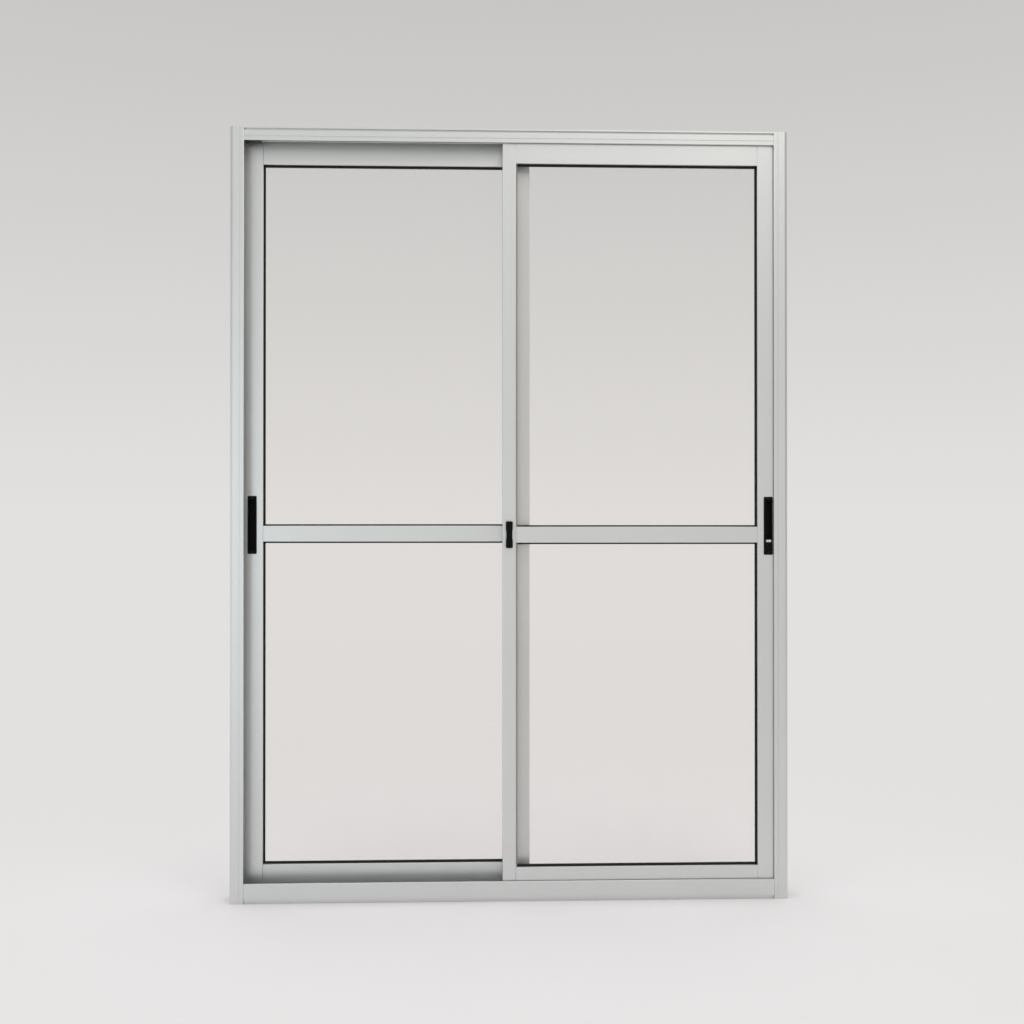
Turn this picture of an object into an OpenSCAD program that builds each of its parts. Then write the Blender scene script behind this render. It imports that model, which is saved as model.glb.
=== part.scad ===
// Pair of sliding french windows: two glazed aluminium leaves on two tracks, in one frame.
// X runs along the width, Y from the front face (negative) to the back, Z up from the floor.

/* [Frame] */
// Overall width of the frame
frame_w = 1480; // [1300:5:1800]
// Overall height of the frame
frame_h = 2050; // [1950:5:2300]
// Depth of the frame, front face to back face
frame_d = 80; // [80:1:86]
// Width of a jamb seen from the front
jamb_face = 36; // [35:1:40]
// Thickness of the lips that cover the leaf edges
lip_t = 3; // [2.8:0.1:3.2]
// Thickness of the web that joins the lips
web_t = 2; // [1.6:0.1:2.2]
// Set-back of the web from the outer edge of the lips
web_set = 5; // [4:0.5:6]
// Thickness of the rib that parts the two channels of a jamb
rib_t = 2; // [1.6:0.1:2.4]
// Set-back of that rib behind the edge of the lips
rib_set = 4; // [2:0.5:8]
// Edge radius of the lips
lip_r = 1.2; // [0.6:0.1:1.4]
// Distance of the face groove from the inner edge of a lip
groove_set = 8; // [6:0.5:9]
// Width of the face groove
groove_w = 4; // [2:0.5:5]
// Depth of the face groove
groove_depth = 1.2; // [0.6:0.1:1.5]
// Width of the bevel along the outer edge of a jamb
bevel_w = 6.5; // [5:0.5:8]
// Depth of that bevel at the edge
bevel_depth = 2.2; // [1:0.1:2.4]
// Height of the head's face, up to the ends of the jambs
head_face = 36; // [35:1:42]
// Height of the strip along the top of the head's face
head_strip = 4; // [3:0.5:5]
// Height of the slot below that strip
head_slot_w = 5.5; // [4:0.5:6]
// Depth of that slot
head_slot_d = 6; // [5:0.5:7]
// Height of the sill's front wall above the floor
sill_h = 53.5; // [48:0.5:56]
// Height of the set-back plinth under the sill
plinth_h = 10; // [8:0.5:11]
// Set-back of the plinth
plinth_set = 5.5; // [3.5:0.5:6]
// Thickness of the plinth legs
leg_t = 2.2; // [1.8:0.1:3]
// Thickness of the sill's floor
floor_t = 2.2; // [1.8:0.1:2.6]
// Gap of the butt joints between frame members
joint_gap = 0.15; // [0.1:0.05:0.3]
// Length of a drain slot in the rear wall of the sill
drain_l = 30; // [16:1:50]
// Height of a drain slot
drain_h = 5; // [3:0.5:7]
// Distance of a drain slot from the middle of the sill
drain_x = 380; // [200:10:500]

/* [Tracks] */
// Distance between the two tracks
track_pitch = 40; // [40:0.5:41]
// Height of the front track's top
track_h = 27; // [26:0.5:28]
// Extra height of the rear track, so that the sill sheds water
rear_raise = 2.5; // [1:0.5:3]
// Thickness of a track's stem
track_t = 2.4; // [1.8:0.1:3]
// Diameter of the bead along a track's top
track_bead = 5; // [4.4:0.1:5.2]
// Thickness of a guide fin in the head
guide_t = 2.4; // [1.8:0.1:2.6]
// Height of a guide fin's lower end above the head's lower edge
guide_low = 2; // [1:0.5:4]

/* [Leaves] */
// Thickness of a leaf
leaf_t = 27; // [26.5:0.1:27.4]
// Height of the front leaf's lower edge
leaf_rise = 22.5; // [21.5:0.5:23]
// Overlap of the head over the top of the front leaf
leaf_cover = 13; // [11:0.5:14]
// Overlap of a jamb over the closing edge of a leaf
jamb_bite = 13; // [11:0.5:14]
// Height of the top and bottom rails
rail_h = 66.5; // [64:0.5:75]
// Height of the mid rail
mid_rail_h = 42.5; // [42:0.5:60]
// Height of the mid rail's middle above the leaf's lower edge
mid_rail_at = 949.5; // [700:0.5:1250]
// Width of the closing stiles
stile_w = 56; // [55:0.5:60]
// Width of the front leaf's meeting stile
front_meet_w = 35.5; // [35:0.5:44]
// Width of the rear leaf's meeting stile
rear_meet_w = 66; // [62:0.5:74]
// Distance of the front leaf's meeting edge from the middle of the frame
meet_x = 21.5; // [20.5:0.5:22.5]
// Wall thickness of the leaf sections
wall_t = 1.6; // [1.4:0.1:1.8]
// Depth of the glazing pocket
pocket_d = 15; // [14.8:0.1:15.4]
// Length of the flange that grips the gasket
grip_run = 7; // [4:0.5:9]
// Edge radius of the leaf sections
edge_r = 1; // [0.5:0.1:1.2]
// Distance of the tongue from the closing stile's sight edge
tongue_at = 34; // [33:0.5:36]
// Step from the stile's face down to its tongue
tongue_step = 1; // [0.6:0.1:1.3]
// Distance from the sight edge to the web over the roller chamber
rail_web_at = 27; // [26.8:0.1:28]
// Width of the toe along the open edge of the top and bottom rails
toe_w = 3; // [2:0.5:4]
// Outside diameter of the screw flutes in the rails
flute_od = 8; // [7:0.2:8.4]
// Distance of the rail flutes from the middle plane of a leaf
flute_y = 7; // [6:0.5:7.5]
// Clearance of the stile ends over tracks and guide fins
notch_gap = 1.6; // [1:0.1:2]
// Gap of the butt joints between rails and stiles
butt_gap = 0.1; // [0.05:0.05:0.2]

/* [Glazing] */
// Thickness of the glass
glass_t = 5; // [4:0.5:6]
// Depth of the glass in the glazing pocket
glass_bite = 12.5; // [11:0.1:12.6]
// Thickness of the gasket on each side of the glass
gasket_leg = 4.2; // [3.4:0.1:4.6]
// Thickness of the gasket around the edge of the glass
gasket_base = 2.2; // [1.6:0.1:2.2]
// Height of the gasket that shows beyond the rails
gasket_show = 4; // [2:0.5:6]
// Depth of the bevel along the gasket's showing edge
gasket_bevel = 2.4; // [1:0.2:2.6]
// Clearance of the gasket in its pocket
gasket_gap = 0.3; // [0.1:0.1:0.3]

/* [Rollers] */
// Radius of a wheel at the bottom of its groove
wheel_r = 11; // [10:0.5:12]
// Height of the wheel flanges over the groove
wheel_rim = 2.5; // [2:0.1:2.6]
// Width of a wheel
wheel_w = 9; // [8:0.5:9.5]
// Radius of the groove's section
wheel_groove_r = 3; // [2.8:0.1:3.4]
// Clearance between wheel and track
wheel_gap = 0.3; // [0.2:0.1:0.4]
// Diameter of a roller axle
axle_d = 5; // [4:0.5:6]
// Radial clearance of the turning fits
run_gap = 0.05; // [0.02:0.01:0.08]
// Length of a roller housing
housing_l = 76; // [60:1:90]
// Distance of the rollers from the sight edges
roller_in = 60; // [50:1:120]
// Side clearance of the wheels in their housings
wheel_side = 0.5; // [0.3:0.1:0.6]
// Clearance of inserted blocks in the rails
insert_gap = 0.1; // [0.05:0.05:0.2]
// Clearance between housing and rail toe
housing_lift = 2; // [1:0.5:3]

/* [Pulls and lock] */
// Width of a pull's plate
pull_w = 24; // [23:0.5:25]
// Height of a pull's plate
pull_h = 155; // [150:1:170]
// Thickness of a pull's plate
pull_t = 2; // [1.5:0.1:2.4]
// Corner radius of a pull's plate
pull_r = 3; // [1:0.5:4]
// Distance of the pull's middle from the closing edge
pull_set = 27; // [26.5:0.1:27.5]
// Height of the pull's middle above the leaf's lower edge
pull_at = 973; // [850:1:1100]
// Width of the case behind the plate
case_w = 19.4; // [19:0.1:20]
// Lap of the plate over the stile, above and below the case
plate_lap = 8.5; // [8:0.5:10]
// Depth of the case
case_d = 13; // [12:0.5:14]
// Clearance of the case in its cut-out
case_gap = 0.2; // [0.1:0.1:0.3]
// Wall of the case around the finger recess
case_t = 1.8; // [1.4:0.1:2]
// Corner radius of the finger recess
recess_r = 2; // [1:0.5:3]
// Height of the lock's finger recess above the plate's lower end
recess_up = 44.5; // [43.5:0.5:49.5]
// Width of the thumb slide
thumb_w = 13.5; // [11:0.5:14]
// Height of the thumb slide
thumb_h = 6; // [5:0.5:7]
// Height of the thumb slide over the plate
thumb_t = 3; // [2:0.5:4]
// Height of the thumb slide above the plate's lower end
thumb_up = 37; // [36.5:0.5:37.5]
// Corner radius of the thumb slide
thumb_r = 1; // [0.5:0.1:2]
// Width of the neck that carries the thumb slide
neck_w = 4.8; // [4:0.2:6]
// Height of that neck
neck_h = 5; // [4:0.5:5.5]
// Travel of the lock
lock_travel = 10; // [9:0.5:10.5]
// Clearance around the sliding lock parts
slide_gap = 0.3; // [0.2:0.1:0.4]
// Thickness of the hook bolt
hook_t = 2.5; // [2:0.1:3]
// Depth of the hook bolt's front behind the stile's face
hook_in = 4; // [3.6:0.1:4.4]
// Height of the hook bolt's arm
hook_h = 7; // [6:0.5:7.5]
// Height of the arm's lower side above the plate's lower end
arm_up = 29; // [28.5:0.5:30.5]
// Height of the hook bolt's nib under the arm
nib_h = 6; // [5:0.5:6.5]
// Length of the nib along the arm
nib_l = 3.6; // [3:0.1:4]
// Gap between the hook bolt's parts and the keeper
keeper_gap = 1.2; // [0.8:0.1:1.5]
// Distance of the keeper's plate from the leaf's closing edge
keeper_off = 4.5; // [4:0.1:5]
// Thickness of the keeper
keeper_t = 1.5; // [1.2:0.1:1.6]
// Width of the keeper
keeper_w = 16; // [14:0.5:17]
// Height of the keeper's bridge
keeper_h = 44; // [42:1:50]
// Length of each foot of the keeper
keeper_foot = 12; // [10:0.5:14]

/* [Centre latch] */
// Length of the latch lever
lever_l = 71; // [60:1:80]
// Width of the lever's ends
lever_w = 18; // [17:0.5:19]
// Width of the lever's waist
lever_waist = 15.5; // [14:0.5:16.5]
// Thickness of the lever
lever_t = 8; // [6:0.5:10]
// Corner radius of the lever's ends
lever_r = 3.5; // [2:0.5:6]
// Distance of the spindle from the lever's upper end
lever_pivot = 9; // [8:0.5:12]
// Diameter of the spindle
spindle_d = 5; // [4:0.2:5]
// Thickness of the bush collar under the lever
bush_collar = 2; // [1.5:0.1:3]
// Diameter of the bush collar
bush_collar_d = 13; // [12:0.5:15]
// Diameter of the bush in the stile's wall
bush_d = 8.4; // [7.6:0.2:9]
// Thickness of the cam
cam_t = 2.2; // [1.6:0.1:2.4]
// Half width of the cam's arm
cam_half = 3.4; // [3:0.1:4]
// Radius of the cam around the spindle
cam_hub_r = 4.4; // [4:0.1:4.6]
// Reach of the cam to the inside of its tooth
cam_reach = 16; // [15:0.5:17]
// Thickness of the cam's tooth
cam_tooth = 4; // [3:0.5:5]
// Height of the cam's tooth over the arm
cam_tooth_h = 6; // [5:0.5:7]
// Clearance around the cam
cam_gap = 0.8; // [0.6:0.1:1]
// Width of the latch keeper's post
post_w = 7; // [5:0.5:8]
// Height of the latch keeper's post
post_h = 5.5; // [4:0.5:6]
// Thickness of the latch keeper's plate
post_plate_t = 1.6; // [1.2:0.1:2]
// Side of the latch keeper's plate
post_plate_w = 14; // [12:1:16]

/* [Interlock] */
// Thickness of the interlock strips
hookstrip_t = 1.5; // [1.2:0.1:1.6]
// Reach of an interlock strip across the gap between the leaves
hookstrip_reach = 9; // [8.6:0.1:9.4]
// Length of the turned edge of an interlock strip
hookstrip_turn = 10; // [9:0.1:10.4]
// Distance between the roots of the two strips
hookstrip_span = 13.5; // [13:0.1:14]

/* [Seals, stops and screws] */
// Height of a pile seal
pile_h = 6; // [4:0.5:7]
// Thickness of the pile seal's backing
pile_back = 1; // [0.6:0.1:1.2]
// Width of the pile on its backing
pile_core = 3; // [2:0.5:4]
// Clearance of the pile from the leaves
pile_gap = 0.3; // [0.2:0.1:0.5]
// Distance of a pile seal from the edge of its lip
pile_set = 2; // [1:0.5:4]
// Width and height of a jamb buffer
buffer_side = 20; // [14:1:24]
// Clearance of the buffers from the closed leaves
buffer_gap = 0.4; // [0.3:0.1:0.8]
// Distance of the buffers from the ends of the jambs
buffer_z = 160; // [120:10:300]
// Length of the travel stop of the rear leaf
stop_l = 12; // [10:1:30]
// Clearance of the leaves from their travel stops
stop_gap = 0.5; // [0.4:0.1:1]
// Width of the blocks that straddle the guide fins
block_w = 20; // [16:0.5:22]
// Length of a top guide block
guide_block_l = 30; // [20:1:50]
// Height of a top guide block
guide_block_h = 22; // [20:1:26]
// Clearance of the guide blocks from the fins
guide_gap = 0.5; // [0.3:0.1:0.6]
// Diameter of the wall fixing holes
fixing_d = 7; // [5:0.5:9]
// Distance of the wall fixing holes from the ends of the jambs
fixing_z = 275; // [210:5:400]
// Shank diameter of the leaf screws
leaf_screw_d = 4; // [3:0.2:4.4]
// Length of the leaf screws in the rails
leaf_screw_l = 25; // [15:1:35]
// Head diameter of the leaf screws
leaf_head_d = 7.6; // [6:0.2:8]
// Head thickness of the leaf screws
leaf_head_t = 2.4; // [1.6:0.1:3]
// Diameter of the access holes for the leaf screws
access_d = 9; // [8.4:0.2:10]
// Shank diameter of the frame screws
frame_screw_d = 3.2; // [2.6:0.2:3.4]
// Length of the frame screws in the flutes
frame_screw_l = 22; // [12:1:40]
// Head diameter of the frame screws
frame_head_d = 6; // [5:0.2:6.2]
// Head thickness of the frame screws
frame_head_t = 2; // [1.5:0.1:3]
// Outside diameter of the flutes in the head and sill
frame_flute_od = 6.4; // [6:0.1:6.6]
// Distance of those flutes from the middle of the depth
frame_flute_y = 3.4; // [3.3:0.1:3.6]
// Shank diameter of the small fixing screws
small_screw_d = 3; // [2.4:0.2:3]
// Length of the small fixing screws
small_screw_l = 9; // [6:0.5:10]
// Head diameter of the small fixing screws
small_head_d = 5.4; // [4.6:0.2:5.6]
// Head thickness of the small fixing screws
small_head_t = 1.4; // [1:0.1:1.6]
// Clearance of screws in their holes
screw_gap = 0.1; // [0.05:0.05:0.2]

/* [Hidden] */
$fn = 64;
// Overrun of cuts past the faces they open
over = 1;
half_w = frame_w / 2;
half_d = frame_d / 2;
lip_edge = half_w - jamb_face;
web_out = half_w - web_set;
web_in = web_out - web_t;
head_low = frame_h - head_face;
head_web = frame_h - web_set - web_t;
floor_top = plinth_h + floor_t;
inner_y = half_d - lip_t;
track_y = track_pitch / 2;
guide_end = head_low + guide_low;
// Leaf sizes, measured on a leaf that closes to the right
edge_x = lip_edge + jamb_bite;
sight_out = edge_x - stile_w;
sight_in = front_meet_w - meet_x;
day_w = sight_out - sight_in;
leaf_h = head_low + leaf_cover - leaf_rise;
half_t = leaf_t / 2;
in_half = half_t - wall_t;
mid_low = mid_rail_at - mid_rail_h / 2;
mid_top = mid_rail_at + mid_rail_h / 2;
rail_top_sight = leaf_h - rail_h;
slot_w = glass_t + 2 * (gasket_leg + gasket_gap);
pocket_floor = pocket_d + wall_t;
rail_flute_at = (pocket_floor + rail_web_at) / 2;
leaf_flute_id = leaf_screw_d + 2 * screw_gap;
rear_edge = rear_meet_w - sight_in;
leaf_travel = lip_edge - stop_l - rear_edge;
// Roller places
roller_xs = [sight_out - roller_in, sight_in + roller_in];
axle_z = track_h + wheel_gap + wheel_r - leaf_rise;
wheel_out_r = wheel_r + wheel_rim;
housing_top = rail_h - rail_web_at - wall_t;
housing_low = wall_t + housing_lift;
housing_w = 2 * (in_half - insert_gap);
// Pull and lock places on a leaf that closes to the right
pull_x = edge_x - pull_set;
plate_y = -half_t - pull_t;
case_h = pull_h - 2 * plate_lap;
recess_low = pull_h / 2 - recess_up;
thumb_low = pull_h / 2 - thumb_up;
arm_low = pull_h / 2 - arm_up;
pull_screw_z = (pull_h + case_h) / 4;
recess_w = case_w - 2 * case_t;
recess_top = case_h / 2 - case_t;
chamber_top = recess_low + case_t;
hook_tip = edge_x + keeper_off + keeper_t + keeper_gap + nib_l;
hook_y = -half_t + hook_in;
window_low = arm_low + lock_travel + keeper_gap;
window_top = arm_low - hook_h - keeper_gap;
keeper_x = edge_x + keeper_off;
keeper_z = leaf_rise + pull_at - (window_low + window_top) / 2;
keeper_y = -track_y + hook_y + hook_t / 2;
// Centre latch places on the front leaf
latch_x = sight_in - front_meet_w / 2;
pivot_z = mid_rail_at + lever_l / 2 - lever_pivot;
lever_back = -half_t - bush_collar;
cam_y = half_t + cam_gap;
post_x = latch_x + cam_reach - cam_gap - post_w;
post_z = leaf_rise + pivot_z + cam_half + cam_gap;
leaf_back = -track_y + half_t;
rear_face = track_y - half_t;

// Shared shapes

// A section drawn in (Y, Z) and drawn out along X
module along_x(x0, x1) {
  translate([x0, 0, 0])
    rotate([90, 0, 90])
      linear_extrude(x1 - x0)
        children();
}

// A section drawn in (X, Z) and drawn out along Y from y0 to y1
module along_y(y0, y1) {
  translate([0, y1, 0])
    rotate([90, 0, 0])
      linear_extrude(y1 - y0)
        children();
}

module box2(x0, y0, x1, y1) {
  translate([x0, y0])
    square([x1 - x0, y1 - y0]);
}

module box3(a, b) {
  translate(a)
    cube(b - a);
}

// What a radius takes off a corner at the origin, whose body lies towards +X and +Y
module corner_cut(r) {
  difference() {
    box2(-over, -over, r, r);
    translate([r, r])
      circle(r);
  }
}

module rounded_box2(w, h, r) {
  box2(-w / 2 + r, -h / 2, w / 2 - r, h / 2);
  box2(-w / 2, -h / 2 + r, w / 2, h / 2 - r);
  for (sx = [-1, 1], sy = [-1, 1])
    translate([sx * (w / 2 - r), sy * (h / 2 - r)])
      circle(r);
}

module pin_x(x0, x1, d) {
  translate([x0, 0, 0])
    rotate([0, 90, 0])
      cylinder(h = x1 - x0, d = d);
}

module pin_y(y0, y1, d) {
  translate([0, y1, 0])
    rotate([90, 0, 0])
      cylinder(h = y1 - y0, d = d);
}

// A screw along +X: its head's underside is at x = 0
module screw_x(shank, d, head, head_d) {
  pin_x(-head, 0, head_d);
  pin_x(0, shank, d);
}

// A screw along +Y: its head's underside is at y = 0
module screw_y(shank, d, head, head_d) {
  pin_y(-head, 0, head_d);
  pin_y(0, shank, d);
}

// Frame sections

// Front lip from its inner edge at x = 0 to its outer edge at x = w, its face at y = 0
module lip_section(w, bevel) {
  difference() {
    box2(0, 0, w, lip_t);
    corner_cut(lip_r);
    box2(groove_set, -over, groove_set + groove_w, groove_depth);
    if (bevel)
      polygon([[w - bevel_w, 0], [w - bevel_w, -over], [w + over, -over], [w + over, bevel_depth], [w, bevel_depth]]);
  }
}

module jamb_section() {
  for (m = [0, 1])
    mirror([0, m])
      translate([lip_edge, -half_d])
        lip_section(jamb_face, true);
  box2(web_in, -inner_y - lip_t / 2, web_out, inner_y + lip_t / 2);
}

// Jamb on the right, with its parting rib, wall fixing holes and frame screw holes
module jamb() {
  difference() {
    union() {
      linear_extrude(frame_h)
        jamb_section();
      translate([0, 0, sill_h])
        linear_extrude(head_low - sill_h)
          box2(lip_edge + rib_set, -rib_t / 2, web_in + web_t / 2, rib_t / 2);
    }
    for (y = [-track_y, track_y], z = [fixing_z, frame_h - fixing_z])
      translate([0, y, z])
        pin_x(web_in - over, web_out + over, fixing_d);
    at_frame_screws()
      pin_x(web_in - over, web_out + over, frame_screw_d + 2 * screw_gap);
  }
}

module at_frame_screws() {
  for (y = [-frame_flute_y, frame_flute_y], z = [sill_flute_z(), head_flute_z()])
    translate([0, y, z])
      children();
}

function sill_flute_z() = floor_top + frame_flute_od / 2 - floor_t / 4;
function head_flute_z() = head_web - frame_flute_od / 2 + web_t / 4;

// Pair of screw flutes at height z
module frame_flutes(z) {
  for (y = [-frame_flute_y, frame_flute_y])
    translate([y, z])
      circle(d = frame_flute_od);
}

module frame_flute_bores(z) {
  for (y = [-frame_flute_y, frame_flute_y])
    translate([y, z])
      circle(d = frame_screw_d + 2 * screw_gap);
}

// Cuts that let the lips of the jambs past the ends of a head or sill
module jamb_seats(z0, z1) {
  for (mx = [0, 1], my = [0, 1])
    mirror([mx, 0, 0])
      mirror([0, my, 0])
        box3([lip_edge - joint_gap, inner_y - joint_gap, z0 - over], [half_w, half_d + over, z1 + over]);
}

// Lip of the head, with a deep slot below the strip along its top
module head_lip_section() {
  slot_low = head_face - head_strip - head_slot_w;
  difference() {
    union() {
      lip_section(head_face, false);
      box2(slot_low - lip_t, 0, head_face, head_slot_d + lip_t);
    }
    box2(slot_low, -over, slot_low + head_slot_w, head_slot_d);
  }
}

module head_section() {
  web_y = half_d - head_slot_d - lip_t / 2;
  difference() {
    union() {
      for (m = [0, 1])
        mirror([m, 0])
          translate([-half_d, head_low])
            mirror([1, -1])
              head_lip_section();
      box2(-web_y, head_web, web_y, head_web + web_t);
      for (y = [-track_y, track_y]) {
        box2(y - guide_t / 2, guide_end + guide_t / 2, y + guide_t / 2, head_web + web_t / 2);
        translate([y, guide_end + guide_t / 2])
          circle(d = guide_t);
      }
      frame_flutes(head_flute_z());
    }
    frame_flute_bores(head_flute_z());
  }
}

module track_section(y, top) {
  box2(y - track_t / 2, floor_top - floor_t / 2, y + track_t / 2, top - track_bead / 2);
  translate([y, top - track_bead / 2])
    circle(d = track_bead);
}

module sill_section() {
  difference() {
    union() {
      for (m = [0, 1])
        mirror([m, 0]) {
          difference() {
            box2(-half_d, plinth_h, -inner_y, sill_h);
            translate([-half_d, sill_h])
              mirror([0, 1])
                corner_cut(lip_r);
          }
          box2(-half_d + plinth_set, 0, -half_d + plinth_set + leg_t, plinth_h + floor_t / 2);
        }
      box2(-leg_t / 2, 0, leg_t / 2, plinth_h + floor_t / 2);
      box2(-inner_y - lip_t / 2, plinth_h, inner_y + lip_t / 2, floor_top);
      track_section(-track_y, track_h);
      track_section(track_y, track_h + rear_raise);
      frame_flutes(sill_flute_z());
    }
    frame_flute_bores(sill_flute_z());
  }
}

// Pile seal: backing on a lip, pile towards the leaf; h is the gap that it fills
module pile_section(h) {
  box2(0, 0, pile_h, pile_back);
  box2((pile_h - pile_core) / 2, pile_back / 2, (pile_h + pile_core) / 2, h - pile_gap);
}

// Frame pieces

module left_jamb() {
  color("silver")
    mirror([1, 0, 0])
      jamb();
}

module right_jamb() {
  color("silver")
    difference() {
      jamb();
      at_keeper_screws()
        pin_x(web_in - over, web_out + over, small_screw_d + 2 * screw_gap);
    }
}

module head() {
  color("silver")
    difference() {
      along_x(-web_in + joint_gap, web_in - joint_gap)
        head_section();
      jamb_seats(head_low, frame_h);
    }
}

module sill() {
  color("silver")
    difference() {
      along_x(-web_in + joint_gap, web_in - joint_gap)
        sill_section();
      jamb_seats(plinth_h, sill_h);
      for (sx = [-1, 1])
        translate([sx * drain_x - drain_l / 2, inner_y - over, floor_top])
          cube([drain_l, lip_t + 2 * over, drain_h]);
    }
}

module frame_screws() {
  color("gainsboro")
    for (m = [0, 1])
      mirror([m, 0, 0])
        at_frame_screws()
          translate([web_out, 0, 0])
            mirror([1, 0, 0])
              screw_x(web_t + frame_screw_l, frame_screw_d, frame_head_t, frame_head_d);
}

module head_pile() {
  along_x(-lip_edge + joint_gap, lip_edge - joint_gap)
    translate([-inner_y, head_low + pile_set])
      mirror([1, -1])
        pile_section(inner_y - track_y - half_t);
}

module sill_pile() {
  along_x(-lip_edge + joint_gap, lip_edge - joint_gap)
    translate([-inner_y, sill_h - pile_set - pile_h])
      mirror([1, -1])
        pile_section(inner_y - track_y - half_t);
}

module jamb_pile() {
  translate([lip_edge + pile_set, -inner_y, sill_h])
    linear_extrude(head_low - sill_h)
      pile_section(inner_y - track_y - half_t + tongue_step);
}

module head_front_pile() {
  color("dimgray")
    head_pile();
}

module head_rear_pile() {
  color("dimgray")
    mirror([0, 1, 0])
      head_pile();
}

module sill_front_pile() {
  color("dimgray")
    sill_pile();
}

module sill_rear_pile() {
  color("dimgray")
    mirror([0, 1, 0])
      sill_pile();
}

module left_jamb_pile() {
  color("dimgray")
    mirror([1, 0, 0])
      mirror([0, 1, 0])
        jamb_pile();
}

module right_jamb_pile() {
  color("dimgray")
    jamb_pile();
}

// Rubber blocks in the jambs that the closed leaves come up against
module jamb_buffers() {
  color("black")
    for (side = [-1, 1], z = [buffer_z, frame_h - buffer_z])
      mirror([side < 0 ? 1 : 0, 0, 0])
        translate([edge_x + buffer_gap, -side * track_y - buffer_side / 2, z - buffer_side / 2])
          cube([web_in - edge_x - buffer_gap, buffer_side, buffer_side]);
}

module stop_block(x0, x1, y) {
  difference() {
    box3([x0, y - block_w / 2, head_low], [x1, y + block_w / 2, head_web]);
    box3([x0 - over, y - guide_t / 2 - insert_gap, guide_end - insert_gap],
      [x1 + over, y + guide_t / 2 + insert_gap, head_web + over]);
  }
}

module travel_stops() {
  color("black") {
    stop_block(rear_edge + leaf_travel + stop_gap, lip_edge, track_y);
    stop_block(-lip_edge, -meet_x - leaf_travel - stop_gap, -track_y);
  }
}

module at_keeper_screws() {
  for (sz = [-1, 1])
    translate([0, keeper_y, keeper_z + sz * (keeper_h + keeper_foot) / 2])
      children();
}

// Bridge-shaped keeper on the right jamb, with a window for the hook bolt
module lock_keeper() {
  color("gainsboro")
    difference() {
      translate([0, 0, keeper_z])
        along_y(keeper_y - keeper_w / 2, keeper_y + keeper_w / 2) {
          box2(keeper_x, -keeper_h / 2, keeper_x + keeper_t, keeper_h / 2);
          for (sz = [0, 1])
            mirror([0, sz]) {
              box2(keeper_x, keeper_h / 2 - keeper_t, web_in, keeper_h / 2);
              box2(web_in - keeper_t, keeper_h / 2 - keeper_t, web_in, keeper_h / 2 + keeper_foot);
            }
        }
      box3([keeper_x - over, keeper_y - hook_t / 2 - keeper_gap, leaf_rise + pull_at - window_low],
        [keeper_x + keeper_t + over, keeper_y + hook_t / 2 + keeper_gap, leaf_rise + pull_at - window_top]);
      at_keeper_screws()
        pin_x(web_in - keeper_t - over, web_in + over, small_screw_d + 2 * screw_gap);
    }
}

module keeper_screws() {
  color("gainsboro")
    at_keeper_screws()
      translate([web_in - keeper_t, 0, 0])
        screw_x(keeper_t + web_t + web_set / 2, small_screw_d, small_head_t, small_head_d);
}

// Leaf sections, drawn from the sight edge at x = 0 outwards, y across the leaf

// Walls, glazing pocket and gripping flanges common to all leaf sections
module pocket_section(w) {
  difference() {
    box2(0, -half_t, w, half_t);
    box2(-over, -slot_w / 2, pocket_d, slot_w / 2);
    for (m = [0, 1])
      mirror([0, m]) {
        box2(wall_t, slot_w / 2 + wall_t, pocket_d, in_half);
        box2(grip_run, 0, pocket_d, in_half);
        translate([0, -half_t])
          corner_cut(edge_r);
      }
  }
}

module far_corners(w, step) {
  for (m = [0, 1])
    mirror([0, m])
      translate([w, -half_t + step])
        mirror([1, 0])
          corner_cut(edge_r);
}

module closing_section() {
  difference() {
    pocket_section(stile_w);
    for (m = [0, 1])
      mirror([0, m])
        box2(tongue_at, half_t - tongue_step, stile_w + over, half_t + over);
    box2(pocket_floor, -in_half, tongue_at - wall_t, in_half);
    box2(tongue_at - wall_t - over, -in_half + tongue_step, stile_w - wall_t, in_half - tongue_step);
    far_corners(stile_w, tongue_step);
  }
}

module meeting_section(w) {
  difference() {
    pocket_section(w);
    box2(pocket_floor, -in_half, w - wall_t, in_half);
    far_corners(w, 0);
  }
}

// Ribs with screw flutes between two floors
module flute_ribs(s0, s1) {
  for (y = [-flute_y, flute_y]) {
    box2(s0, y - wall_t / 2, s1, y + wall_t / 2);
    translate([(s0 + s1) / 2, y])
      circle(d = flute_od);
  }
}

module flute_bores(s) {
  for (y = [-flute_y, flute_y])
    translate([s, y])
      circle(d = leaf_flute_id);
}

module rail_section() {
  difference() {
    union() {
      difference() {
        pocket_section(rail_h);
        box2(pocket_floor, -in_half, rail_web_at, in_half);
        box2(rail_web_at + wall_t, -in_half, rail_h - wall_t, in_half);
        box2(rail_web_at + wall_t, -in_half + toe_w, rail_h + over, in_half - toe_w);
      }
      flute_ribs(pocket_floor - wall_t / 2, rail_web_at + wall_t / 2);
    }
    flute_bores(rail_flute_at);
  }
}

module mid_rail_section() {
  difference() {
    union() {
      intersection() {
        pocket_section(mid_rail_h);
        translate([mid_rail_h, 0])
          mirror([1, 0])
            pocket_section(mid_rail_h);
      }
      flute_ribs(pocket_floor - wall_t / 2, mid_rail_h - pocket_floor + wall_t / 2);
    }
    difference() {
      box2(pocket_floor, -in_half, mid_rail_h - pocket_floor, in_half);
      flute_ribs(pocket_floor - wall_t / 2, mid_rail_h - pocket_floor + wall_t / 2);
    }
    flute_bores(mid_rail_h / 2);
  }
}

// Leaf pieces, on a leaf that closes to the right, its lower edge at z = 0

module at_front_leaf() {
  translate([0, -track_y, leaf_rise])
    children();
}

module at_rear_leaf() {
  translate([0, track_y, leaf_rise + rear_raise])
    mirror([1, 0, 0])
      children();
}

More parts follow.
